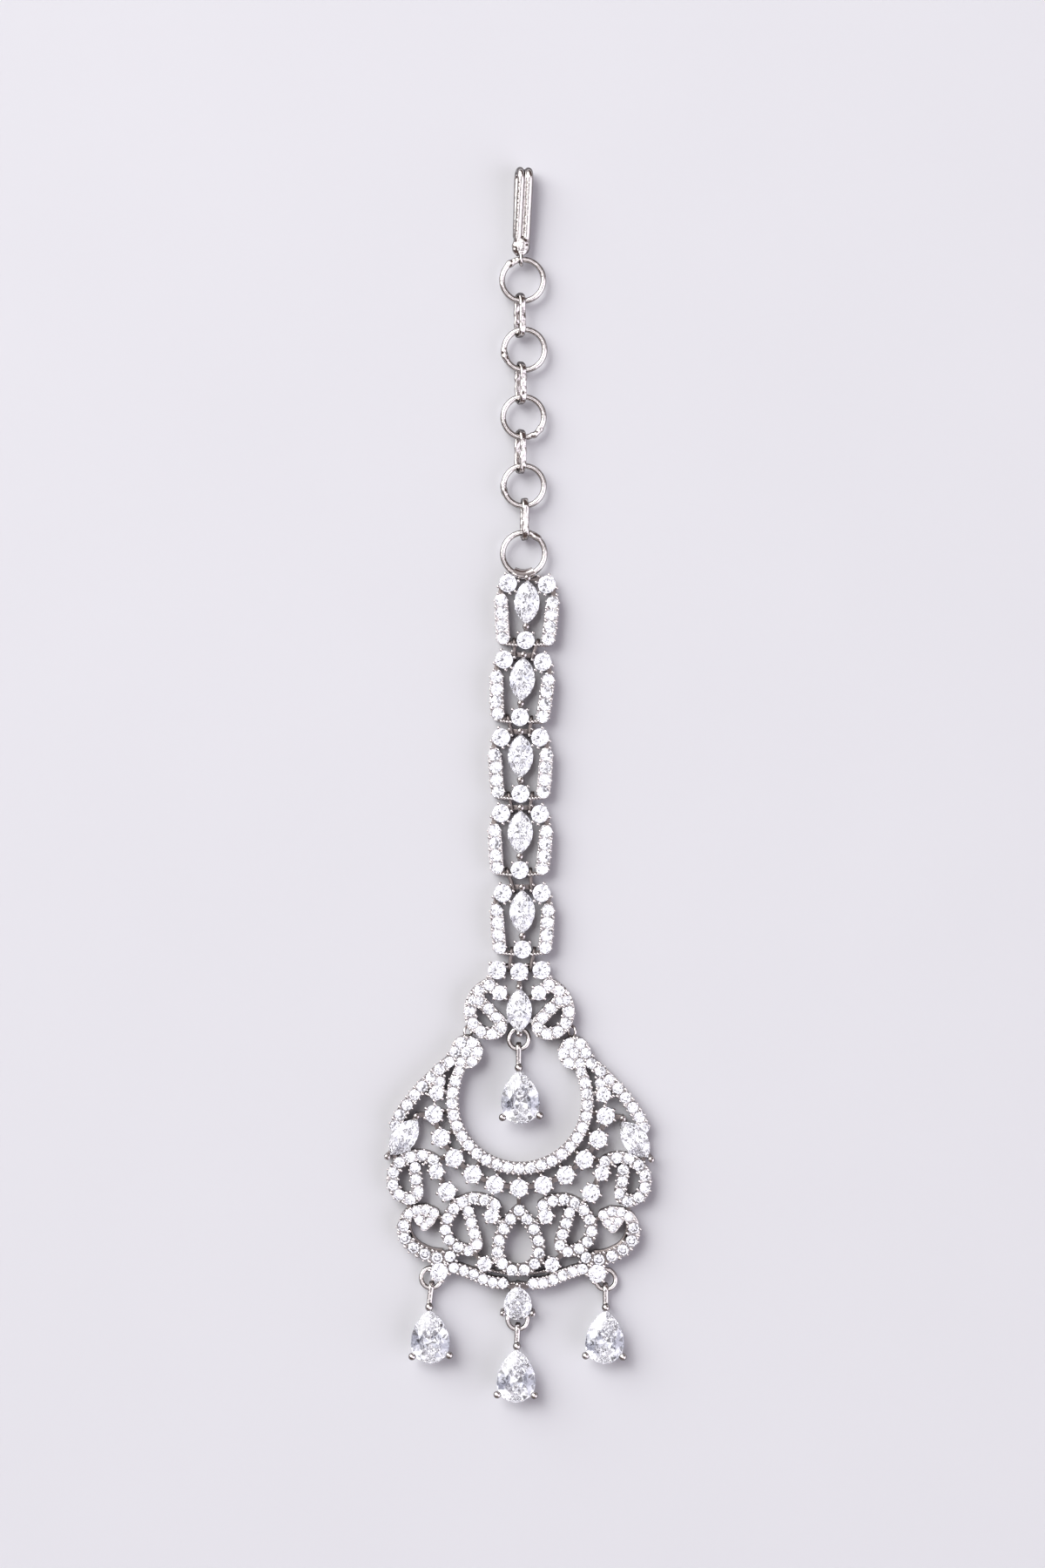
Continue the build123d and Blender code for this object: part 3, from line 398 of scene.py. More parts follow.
def bright_cut_metal(name="bright_cut_plated_metal"):
    """The metal between pave stones, nicked bright with a graver under the plating: small tilted cuts that
    flash light or dark as they face the light or the room. A cut is about 0.35 mm across."""
    metal = bpy.context.scene.tikka_metal
    material, tree, output = new_material(name)
    if tree is None:
        return material
    place = add_node(tree, "ShaderNodeTexCoord").outputs["Object"]
    cuts = add_node(tree, "ShaderNodeTexVoronoi", {"Vector": place, "Scale": 1 / (0.35 * MM)})
    bump = add_node(
        tree, "ShaderNodeBump",
        {"Height": cuts.outputs["Distance"], "Strength": 1.0, "Distance": 0.16 * MM},
    )
    tone = add_node(
        tree, "ShaderNodeMix",
        {"Factor": cuts.outputs["Distance"], "A": metal.plating, "B": metal.back}, data_type="RGBA",
    )
    shader = add_node(
        tree, "ShaderNodeBsdfPrincipled",
        {
            "Base Color": tone.outputs["Result"], "Metallic": 1.0, "Roughness": 0.2,
            "Normal": bump.outputs["Normal"],
        },
    )
    tree.links.new(shader.outputs["BSDF"], output.inputs["Surface"])
    return material


def cut_stone_material(name="cubic_zirconia_cut"):
    """Colourless cubic zirconia, machine-cut and polished: a strongly refracting clear stone."""
    stones = bpy.context.scene.tikka_stones
    material, tree, output = new_material(name)
    if tree is None:
        return material
    place = add_node(tree, "ShaderNodeTexCoord").outputs["Object"]
    clouds = add_node(tree, "ShaderNodeTexNoise", {"Vector": place, "Scale": 1 / (0.8 * MM), "Detail": 1.0})
    tone = add_node(
        tree, "ShaderNodeMix",
        {"Factor": clouds.outputs["Fac"], "A": stones.tint, "B": linear("#F3F3FA")}, data_type="RGBA",
    )
    shader = add_node(
        tree, "ShaderNodeBsdfPrincipled",
        {
            "Base Color": tone.outputs["Result"], "Roughness": 0.0, "IOR": stones.ior,
            "Transmission Weight": 1.0,
        },
    )
    tree.links.new(shader.outputs["BSDF"], output.inputs["Surface"])
    return material


def large_stone_material(node):
    """The same zirconia in a larger marquise or pear, painted a little greyer in random places. An
    open-backed drop is painted with a darker bow tie across its wide end. Both are painted shade in the
    stone's colour, standing in for facets that show the dark room."""
    stones = bpy.context.scene.tikka_stones
    drop = node.startswith("drop")
    material, tree, output = new_material(f"cubic_zirconia_{node}")
    if tree is None:
        return material
    low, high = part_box(node)
    waist = Vector(((low.x + high.x) / 2, low.y + stones.painted_bow_tie_height * (high.y - low.y), 0))
    place = add_node(tree, "ShaderNodeTexCoord").outputs["Object"]
    clouds = add_node(tree, "ShaderNodeTexNoise", {"Vector": place, "Scale": 1 / (1.1 * MM), "Detail": 1.0})
    away = add_node(tree, "ShaderNodeVectorMath", {0: place, 1: waist}, operation="SUBTRACT")
    away = add_node(tree, "ShaderNodeVectorMath", {0: away.outputs["Vector"]}, operation="ABSOLUTE")
    away = add_node(tree, "ShaderNodeSeparateXYZ", {0: away.outputs["Vector"]})
    beside = add_node(
        tree, "ShaderNodeMapRange", {"Value": away.outputs["X"], "From Min": 0.6 * MM, "From Max": 1.4 * MM},
    )
    along = add_node(
        tree, "ShaderNodeMapRange", {"Value": away.outputs["Y"], "From Min": 1.3 * MM, "From Max": 0.4 * MM},
    )
    bow = add_node(
        tree, "ShaderNodeMath", {0: beside.outputs["Result"], 1: along.outputs["Result"]},
        operation="MULTIPLY",
    )
    # painted shade: random greyer places, and on a drop a darker bow tie
    dark = add_node(
        tree, "ShaderNodeMath",
        {0: bow.outputs["Value"], 1: stones.painted_bow_tie_share if drop else 0.0, 2: clouds.outputs["Fac"]},
        operation="MULTIPLY_ADD",
    )
    depth = add_node(
        tree, "ShaderNodeMapRange", {"Value": dark.outputs["Value"], "From Min": 0.58, "From Max": 0.7},
    )
    tone = add_node(
        tree, "ShaderNodeMix",
        {"Factor": depth.outputs["Result"], "A": stones.large, "B": stones.shade if drop else stones.depth},
        data_type="RGBA",
    )
    shader = add_node(
        tree, "ShaderNodeBsdfPrincipled",
        {
            "Base Color": tone.outputs["Result"], "Roughness": 0.0, "IOR": stones.ior,
            "Transmission Weight": 1.0,
        },
    )
    tree.links.new(shader.outputs["BSDF"], output.inputs["Surface"])
    return material


# ------------------------------------------------------------------ meshes
def node_mesh(name):
    """A merged copy of a CAD node's mesh, in mm."""
    bm = bmesh.new()
    bm.from_mesh(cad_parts[name].data)
    bmesh.ops.remove_doubles(bm, verts=bm.verts, dist=1e-7)
    bmesh.ops.transform(bm, matrix=TO_MM, verts=bm.verts)
    return bm


def piece(bm, name, material, smooth_angle=None, replaces=()):
    """Makes a mesh in mm a finished piece of the ornament."""
    bmesh.ops.transform(bm, matrix=TO_M, verts=bm.verts)
    mesh = bpy.data.meshes.new(name)
    bm.to_mesh(mesh)
    bm.free()
    mesh.materials.append(material)
    if smooth_angle is not None:
        mesh.polygons.foreach_set("use_smooth", [True] * len(mesh.polygons))
        mesh.set_sharp_from_angle(angle=smooth_angle)
    made = bpy.data.objects.new(name, mesh)
    bpy.context.scene.collection.objects.link(made)
    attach(made, "root")
    if replaces:
        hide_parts(*replaces)
    return made


def remeshed(bm, voxel):
    """The same shape as an even mesh of small squares."""
    mesh = bpy.data.meshes.new("raw")
    bm.to_mesh(mesh)
    bm.free()
    raw = bpy.data.objects.new("raw", mesh)
    bpy.context.scene.collection.objects.link(raw)
    modifier = raw.modifiers.new("remesh", "REMESH")
    modifier.mode = "VOXEL"
    modifier.voxel_size = voxel
    graph = bpy.context.evaluated_depsgraph_get()
    even = bpy.data.meshes.new_from_object(raw.evaluated_get(graph))
    bpy.data.objects.remove(raw)
    made = bmesh.new()
    made.from_mesh(even)
    return made


def islands(faces):
    """Groups of faces joined edge to edge, in a fixed order."""
    left = set(faces)
    groups = []
    for first in faces:
        if first not in left:
            continue
        left.remove(first)
        group, queue = [], [first]
        while queue:
            face = queue.pop()
            group.append(face)
            for edge in face.edges:
                for other in edge.link_faces:
                    if other in left:
                        left.remove(other)
                        queue.append(other)
        groups.append(group)
    return groups


def outline(group):
    """Corners of a group of faces, the centre of their box in the plane, and its width and length."""
    corners = list(dict.fromkeys(v for face in group for v in face.verts))
    xs, ys = [v.co.x for v in corners], [v.co.y for v in corners]
    center = Vector(((min(xs) + max(xs)) / 2, (min(ys) + max(ys)) / 2))
    return corners, center, max(xs) - min(xs), max(ys) - min(ys)


def set_rounds():
    """Centre, girdle radius and girdle height of each round stone, from the CAD nodes."""
    found = []
    for name in ROUNDS:
        bm = node_mesh(name)
        for group in islands(bm.faces):
            corners, center, _, _ = outline(group)
            reach = max((v.co.xy - center).length for v in corners)
            rim = [v.co.z for v in corners if (v.co.xy - center).length > AT_GIRDLE * reach]
            found.append((name, center, reach, sum(rim) / len(rim)))
        bm.free()
    return sorted(found, key=lambda r: (r[0], round(r[1].y, 3), round(r[1].x, 3)))


def pave_seats(bm):
    """Centre and radius of the drilled holes behind the pave stones, from their round upright walls."""
    walls = [f for f in bm.faces if abs(f.normal.z) < DRILLED and max(v.co.z for v in f.verts) < SEAT_FLOOR]
    holes = []
    for group in islands(walls):
        corners, center, width, length = outline(group)
        round_hole = abs(width - length) < HOLE_OVALNESS * max(width, length)
        if not round_hole or not HOLE_WIDTHS[0] < width < HOLE_WIDTHS[1]:
            continue
        reaches = [(v.co.xy - center).length for v in corners]
        if max(reaches) - min(reaches) < HOLE_ROUNDNESS and len(corners) >= HOLE_CORNERS:
            holes.append((center, sum(reaches) / len(reaches)))
    return sorted(holes, key=lambda h: (round(h[0].y, 3), round(h[0].x, 3)))


def grind(bm, point, normal):
    """Cuts one facet: what lies beyond the plane is taken off and the cut is closed."""
    cut = bmesh.ops.bisect_plane(
        bm, geom=bm.verts[:] + bm.edges[:] + bm.faces[:], dist=1e-6, plane_co=point, plane_no=normal,
        clear_outer=True,
    )
    rim = [item for item in cut["geom_cut"] if isinstance(item, bmesh.types.BMEdge)]
    if rim:
        bmesh.ops.contextual_create(bm, geom=rim)


# a ring of crown facets: their number, the first one's azimuth, and the heights and reaches of their two ends
Facets = namedtuple("Facets", "count first low_z low_reach high_reach")


def small_brilliant(crown, pavilion, table):
    """A round brilliant of radius 1, girdle at zero: table, stars, kites, halves and a plain pavilion."""
    bm = bmesh.new()
    height = crown + pavilion
    bmesh.ops.create_cone(bm, cap_ends=True, segments=16, radius1=1, radius2=1, depth=height)
    bmesh.ops.translate(bm, verts=bm.verts, vec=(0, 0, crown - height / 2))
    kites = Facets(8, 0.0, 0.02, 1.0, table)
    halves = Facets(16, 11.25, 0.02, 0.985, table + 0.17)
    stars = Facets(8, 22.5, 0.0, 1.2, table * 0.93)
    for ring in (kites, halves, stars):
        for i in range(ring.count):
            turn = radians(ring.first + 360 / ring.count * i)
            out = Vector((cos(turn), sin(turn), 0))
            rise, run = crown - ring.low_z, ring.low_reach - ring.high_reach
            grind(bm, out * ring.low_reach + Vector((0, 0, ring.low_z)), out * rise + Vector((0, 0, run)))
    for i in range(8):
        turn = radians(45 * i)
        out = Vector((cos(turn), sin(turn), 0))
        grind(bm, out * 1.0, out * pavilion - Vector((0, 0, 1.0)))
    mesh = bpy.data.meshes.new("small_brilliant")
    bm.to_mesh(mesh)
    bm.free()
    return mesh


def stamp(bm, mesh, matrix):
    """Adds a copy of a mesh."""
    first = len(bm.verts)
    bm.from_mesh(mesh)
    bm.verts.ensure_lookup_table()
    bmesh.ops.transform(bm, matrix=matrix, verts=bm.verts[first:])


def bead_mesh():
    """A small round bead of radius 1."""
    bm = bmesh.new()
    bmesh.ops.create_uvsphere(bm, u_segments=8, v_segments=6, radius=1)
    mesh = bpy.data.meshes.new("bead")
    bm.to_mesh(mesh)
    bm.free()
    return mesh


def chance(place, salt):
    """A fixed number from 0 to 1 that depends on the place only."""
    return noise.cell(Vector((place[0] * 7.3 + salt * 13.7, place[1] * 7.3 - salt * 5.1, salt * 3.3)))


class StoneMap:
    """Finds the stone nearest to a point in the plane."""

    def __init__(self, stones):
        self.stones = stones
        self.tree = KDTree(len(stones))
        for i, (center, _) in enumerate(stones):
            self.tree.insert((center.x, center.y, 0), i)
        self.tree.balance()

    def hides(self, point, part):
        """Whether the point is within this part of a stone's radius from its centre."""
        _, i, apart = self.tree.find((point.x, point.y, 0))
        return apart < part * self.stones[i][1]


def draw_in(bm, holes, collets, depth):
    """Draws the rims of the pave bands in, so that the stones reach their edges. The seats stay as they are,
    and so does what is far from any pave."""
    bm.normal_update()
    moves = []
    for vert in bm.verts:
        in_seat = holes.hides(vert.co, SEAT_TO_HOLE) or collets.hides(vert.co, BESIDE_STONE)
        if in_seat or not holes.hides(vert.co, NEAR_STONE):
            continue
        out = sum((face.normal for face in vert.link_faces if abs(face.normal.z) < RIM_WALL), Vector())
        if out.length > 0.01:
            moves.append((vert, out.normalized() * depth))
    for vert, move in moves:
        vert.co -= move


def finish_of(face, stones, gems):
    """The finish that a casting has on this face."""
    middle = face.calc_center_median()
    start = middle + LIFT * face.normal
    if middle.z < BACK_TOP:
        return OPEN_BACK
    if middle.z > LIFT and gems.ray_cast(start, UP)[0] and gems.ray_cast(start, face.normal)[0]:
        return FOIL
    if stones.hides(middle, UNDER_STONE):
        return PLATED
    # steep walls take the dark satin finish: partly painted shade in the gaps
    if face.normal.z < STEEP:
        return SATIN_AND_PAINTED_SHADE
    if face.normal.z < LEVEL:
        return PLATED
    # lands that are low, or away from the stones, take it too: partly painted shade in the recesses between
    # pave stones
    low = middle.z < LAND_BOTTOM
    if not stones.hides(middle, 1.0) and (low or not stones.hides(middle, BESIDE_STONE)):
        return SATIN_AND_PAINTED_SHADE
    return PLATED if low else BRIGHT_CUT


def collet_gems():
    """The surface of the stones that sit in collets, as a tree for sight lines."""
    gems = bmesh.new()
    for name in COLLET_GEMS:
        gems.from_mesh(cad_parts[name].data)
    bmesh.ops.transform(gems, matrix=TO_MM, verts=gems.verts)
    tree = BVHTree.FromBMesh(gems)
    gems.free()
    return tree


def round_edges(bm, stones, width):
    """Rounds the sharp edges of a casting, but not those under its stones."""
    sharp = [
        edge for edge in bm.edges
        if edge.calc_face_angle(0) > SHARP and not stones.hides(edge.verts[0].co, INSIDE_STONE)
    ]
    bmesh.ops.bevel(
        bm, geom=sharp, offset=width, offset_type="OFFSET", segments=2, profile=0.5, affect="EDGES",
        clamp_overlap=True, material=-1,
    )


# --------------------------------------------------------------- operators
class TIKKA_OT_castings(bpy.types.Operator):
    """Smooth, softly rounded castings for the links, the crown piece and the pendant"""

    bl_idname = "tikka.castings"
    bl_label = "Castings"

    def execute(self, context):
        metal = context.scene.tikka_metal
        rounds = set_rounds()
        gems = collet_gems()
        for name in CASTINGS:
            bm = node_mesh(name)
            pave = pave_of(name, rounds)
            own = [(r[1], r[2]) for r in rounds if r[0] == name.replace("frame", "rounds")]
            under = StoneMap(pave + own)
            bmesh.ops.dissolve_limit(bm, angle_limit=FLAT, verts=bm.verts, edges=bm.edges)
            draw_in(bm, StoneMap(seats_of(name, rounds)), StoneMap(own), metal.draw_in)
            bm.normal_update()
            round_edges(bm, under, metal.edge)
            bm.normal_update()
            for face in bm.faces:
                face.material_index = finish_of(face, under, gems)
            made = piece(bm, f"cast_{name}", plated_metal(), metal.smooth, [name])
            back = satin_and_painted_shade_metal("unpolished_cast_back", deep=False)
            for material in (satin_and_painted_shade_metal(), bright_cut_metal(), back, foil()):
                made.data.materials.append(material)
        return {"FINISHED"}


def softened_wire(wire):
    """A wire's CAD mesh, evened out and a little softened."""
    bm = remeshed(node_mesh(wire.node), wire.voxel)
    bmesh.ops.smooth_vert(
        bm, verts=bm.verts, factor=0.5, use_axis_x=True, use_axis_y=True, use_axis_z=True,
    )
    bm.normal_update()
    return bm


class TIKKA_OT_wires(bpy.types.Operator):
    """Soldered rings, hammered connectors, loops, drop rings and the drops' baskets"""

    bl_idname = "tikka.wires"
    bl_label = "Wire and baskets"

    def execute(self, context):
        for wire in WIRES + [HOOK]:
            low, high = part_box(wire.node)
            center = (low + high).xy / (2 * MM)
            eye_top = low.y / MM + EYE_LENGTH
            bm = softened_wire(wire)
            for vert in bm.verts:
                depth = 0.0
                if wire.seam is not None:
                    away = vert.co.xy - center
                    turn = (degrees(atan2(away.y, away.x)) - wire.seam + 180) % 360 - 180
                    fade = max(0.0, 1 - (turn / SEAM_SPREAD) ** 2)
                    depth = SEAM_DEPTH * fade * noise.noise(vert.co * 1.7)
                elif wire is HOOK:
                    fade = max(0.0, min(1.0, (eye_top - vert.co.y) / EYE_FADE))
                    depth = EYE_DEPTH * fade * noise.noise(vert.co * 1.9)
                elif wire.hammer:
                    depth = wire.hammer * noise.noise(vert.co * 1.35)
                vert.co += vert.normal * depth
            # the loops between the links take the dark satin: partly painted shade between the links
            metal = satin_and_painted_shade_metal() if wire.node.startswith("link_loops") else wire_metal()
            piece(bm, f"wire_{wire.node}", metal, radians(60), [wire.node])
        return {"FINISHED"}


def let_light_through(stone):
    """Stones in a setting pass their light on to the metal behind them, so they cast no shade there."""
    stone.visible_shadow = False
    stone.visible_diffuse = False


class TIKKA_OT_set_stones(bpy.types.Operator):
    """The cut stones in collets and baskets"""

    bl_idname = "tikka.set_stones"
    bl_label = "Set stones"

    def execute(self, context):
        for name in ROUNDS + LARGE_GEMS:
            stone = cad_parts[name]
            material = large_stone_material(name) if name in LARGE_GEMS else cut_stone_material()
            stone.data.materials.clear()
            stone.data.materials.append(material)
            if not name.startswith("drop"):
                let_light_through(stone)
        return {"FINISHED"}


def seats_of(name, rounds):
    """The pave seats of one casting."""
    bm = node_mesh(name)
    bm.normal_update()
    holes = pave_seats(bm)
    bm.free()
    return [hole for hole in holes if all((hole[0] - r[1]).length > SAME_PLACE for r in rounds)]


def pave_of(name, rounds):
    """Centre and radius of a casting's pave stones: as wide as their seats allow, clear of each other."""
    seats = seats_of(name, rounds)
    ratio = bpy.context.scene.tikka_pave.hole_ratio
    stones = []
    for i, (center, hole) in enumerate(seats):
        apart = min((center - other).length for j, (other, _) in enumerate(seats) if j != i)
        stones.append((center, min(hole * ratio, max(apart / 2 - STONE_GAP, hole * LEAST_TO_HOLE))))
    return stones


class TIKKA_OT_pave(bpy.types.Operator):
    """Small brilliants in the drilled seats of the castings"""

    bl_idname = "tikka.pave"
    bl_label = "Pave stones"

    def execute(self, context):
        pave = context.scene.tikka_pave
        template = small_brilliant(pave.crown, pave.pavilion, pave.table)
        rounds = set_rounds()
        for name in CASTINGS:
            bm = bmesh.new()
            stones = pave_of(name, rounds)
            if not stones:
                raise RuntimeError(f"{name} has no pave seats")
            for center, radius in stones:
                lean = [pave.tilt * (2 * chance(center, salt) - 1) for salt in (1, 2)]
                turned = Euler((*lean, 2 * pi * chance(center, 3))).to_matrix().to_4x4()
                place = Matrix.Translation((center.x, center.y, pave.girdle_z))
                stamp(bm, template, place @ turned @ Matrix.Scale(radius, 4))
            let_light_through(piece(bm, name.replace("frame", "pave"), cut_stone_material()))
        return {"FINISHED"}


def clear_of(place, circles, gap):
    """Whether a place is at least this far outside every stone or bead."""
    return all((place - center).length >= reach + gap for center, reach in circles)


def gap_beads(pave, stones, beads):
    """Beads on both sides of each gap between neighbours, clear of the stones."""
    placed = []
    for i, (center, reach) in enumerate(pave):
        for other, other_reach in stones[i + 1 :]:
            apart = other - center
            if apart.length > NEIGHBOURS * (reach + other_reach):
                continue
            middle = center + apart * (reach / (reach + other_reach))
            across = Vector((-apart.y, apart.x)).normalized()
            for side in (-1, 1):
                place = middle + side * beads.bead_offset * min(reach, other_reach) * across
                beside = clear_of(place, placed, (BEADS_APART - 1) * beads.bead)
                if beside and clear_of(place, stones, BEAD_CLEAR * beads.bead):
                    placed.append((place, beads.bead))
    return placed


def flank_beads(pave, stones, placed, beads):
    """Smaller beads at the flanks of the stones, where no bead is placed yet."""
    placed = list(placed)
    for center, reach in pave:
        others = [(c, r) for c, r in stones if c != center]
        near = min((c - center for c, _ in others), key=lambda v: v.length)
        across = Vector((-near.y, near.x)).normalized()
        for side in (-1, 1):
            place = center + side * (reach + FLANK_CLEAR * beads.small) * across
            beside = all((place - p).length > beads.bead + beads.small for p, _ in placed)
            if beside and clear_of(place, others, FLANK_CLEAR * beads.small):
                placed.append((place, beads.small))
    return placed


def bead_places(pave, rounds, beads):
    """Place and radius of the beads that hold the pave of one casting."""
    stones = pave + [(r[1], r[2]) for r in rounds]
    return flank_beads(pave, stones, gap_beads(pave, stones, beads), beads)


# beads along a line of points on the right half, in mm from the tip of the base pear
BeadRow = namedtuple("BeadRow", "points count radius")
BEAD_ROWS = [
    BeadRow([(0.45, 0.18), (1.0, 0.15), (1.6, 0.05)], 4, 0.22),
    BeadRow([(1.3, 1.4), (2.8, 1.65), (4.3, 2.0)], 8, 0.17),
]


def row_places():
    """Beads along the collar over the base pear and along the ledges beside it."""
    low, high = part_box("base_pear")
    tip = Vector(((low.x + high.x) / 2, high.y)) / MM
    places = []
    for row in BEAD_ROWS:
        spans = len(row.points) - 1
        for i in range(row.count):
            along = spans * i / (row.count - 1)
            k = min(int(along), spans - 1)
            x, y = Vector(row.points[k]).lerp(Vector(row.points[k + 1]), along - k)
            places += [(tip + Vector((side * x, y)), row.radius) for side in ((-1, 1) if x > 0 else (1,))]
    return places


# a prong's azimuth, its distance from the middle of a round of radius ROUND, and its share of a head's size
LinkProng = namedtuple("LinkProng", "turn reach size")
ROUND = 1.15
UPPER_PRONGS = [
    LinkProng(75, 1.26, 0.9), LinkProng(-20, 1.34, 0.85), LinkProng(-46, 1.85, 0.8),
    LinkProng(-100, 1.36, 0.85), LinkProng(-132, 1.4, 0.85), LinkProng(168, 1.38, 0.85),
    LinkProng(135, 1.5, 0.7),
]
LOWER_PRONGS = [
    LinkProng(45, 1.34, 0.85), LinkProng(-28, 1.35, 0.85), LinkProng(-20, 1.72, 0.8),
    LinkProng(-15, 2.08, 0.8), LinkProng(-12, 2.45, 0.75),
]


def prong_places(name, rounds, pave, beads):
    """Place, radius and height of the heads that hold the set rounds of one casting."""
    heads = []
    if name.startswith("link"):
        _, foot, _, _ = min(rounds, key=lambda r: r[1].y)
        for _, center, reach, girdle in rounds:
            lower = center == foot
            sides = (-1, 1) if lower else (1 if center.x > foot.x else -1,)
            for prong in LOWER_PRONGS if lower else UPPER_PRONGS:
                for side in sides:
                    out = Vector((side * cos(radians(prong.turn)), sin(radians(prong.turn))))
                    place = center + out * prong.reach * reach / ROUND
                    heads.append((place, beads.prong * prong.size, girdle + beads.prong_rise))
        return heads
    low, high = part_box(name)
    middle = (low + high).xy / (2 * MM)
    for _, center, reach, girdle in rounds:
        outward = degrees(atan2(center.y - middle.y, center.x - middle.x))
        turns = [outward + 60 * i for i in range(6)] if name == "pendant_frame" else [45, 135, 225, 315]
        for turn in turns:
            out = Vector((cos(radians(turn)), sin(radians(turn))))
            place = center + out * (reach + beads.prong_out)
            if clear_of(place, pave, -PRONG_BITE):
                heads.append((place, beads.prong, girdle + beads.prong_rise))
    return heads


OVER_ALL = 5.0   # a height over every piece, in mm
ROW_DOME = 1.4   # height of a bead in a row over its foot, over its radius

# how far a bead's stem lies lower than it in mm, the stem's width over the bead's, its half height in mm
Stem = namedtuple("Stem", "drop width half")
BEAD_STEM = Stem(0.3, 0.8, 0.4)
PRONG_STEM = Stem(0.45, 0.7, 0.7)


def top_of(metal, place):
    """Height of the metal at this place in the plane, or nothing where there is none."""
    hit = metal.ray_cast(Vector((place.x, place.y, OVER_ALL)), -UP)[0]
    return 0.0 if hit is None else hit.z


def raise_bead(bm, bead, place, z, radius, dome):
    """Adds a bead with its middle at this height."""
    shape = Matrix.Diagonal((radius, radius, radius * dome, 1))
    stamp(bm, bead, Matrix.Translation((place.x, place.y, z)) @ shape)


def raise_stem(bm, bead, place, z, radius, stem):
    """Adds the stem of a bead."""
    shape = Matrix.Diagonal((stem.width * radius, stem.width * radius, stem.half, 1))
    stamp(bm, bead, Matrix.Translation((place.x, place.y, z - stem.drop)) @ shape)


class TIKKA_OT_beads(bpy.types.Operator):
    """Beads raised between the pave stones, and corner prongs round the set rounds"""

    bl_idname = "tikka.beads"
    bl_label = "Beads and prongs"

    def execute(self, context):
        beads = context.scene.tikka_beads
        bead = bead_mesh()
        rounds = set_rounds()
        for name in CASTINGS:
            cast = node_mesh(name)
            metal = BVHTree.FromBMesh(cast)
            cast.free()
            pave = pave_of(name, rounds)
            own = [r for r in rounds if r[0] == name.replace("frame", "rounds")]
            bm = bmesh.new()
            for place, radius in bead_places(pave, own, beads):
                edge = metal.find_nearest(Vector((place.x, place.y, LAND_BOTTOM)))[3]
                if top_of(metal, place) > BEAD_METAL or edge < BEAD_ASIDE:
                    raise_bead(bm, bead, place, beads.bead_z, radius, beads.dome)
                    raise_stem(bm, bead, place, beads.bead_z, radius, BEAD_STEM)
            for place, radius in row_places() if name == "pendant_frame" else []:
                top = top_of(metal, place)
                if top > ROW_METAL:
                    raise_bead(bm, bead, place, top, radius, ROW_DOME)
            for place, radius, z in prong_places(name, own, pave, beads):
                raise_bead(bm, bead, place, z, radius, beads.dome)
                raise_stem(bm, bead, place, z, radius, PRONG_STEM)
            piece(bm, name.replace("frame", "beads"), plated_metal(), radians(180))
        return {"FINISHED"}


# sizes of the stage, in metres
FLOOR_REACH = 3.0
FLOOR_GAP = 0.01 * MM   # between the floor and the lowest piece
LAMP_PLACE = Vector((-0.3, 0.34, 0.6))
LAMP_WIDTH = 0.3
SENSOR_WIDTH = 36.0     # of the camera, in mm

BACKDROP = linear("#EAE9EE")

# a soft patch of light in the room: the way to it, the cosines where it is full and where it ends, its colour
Patch = namedtuple("Patch", "toward full end tone")


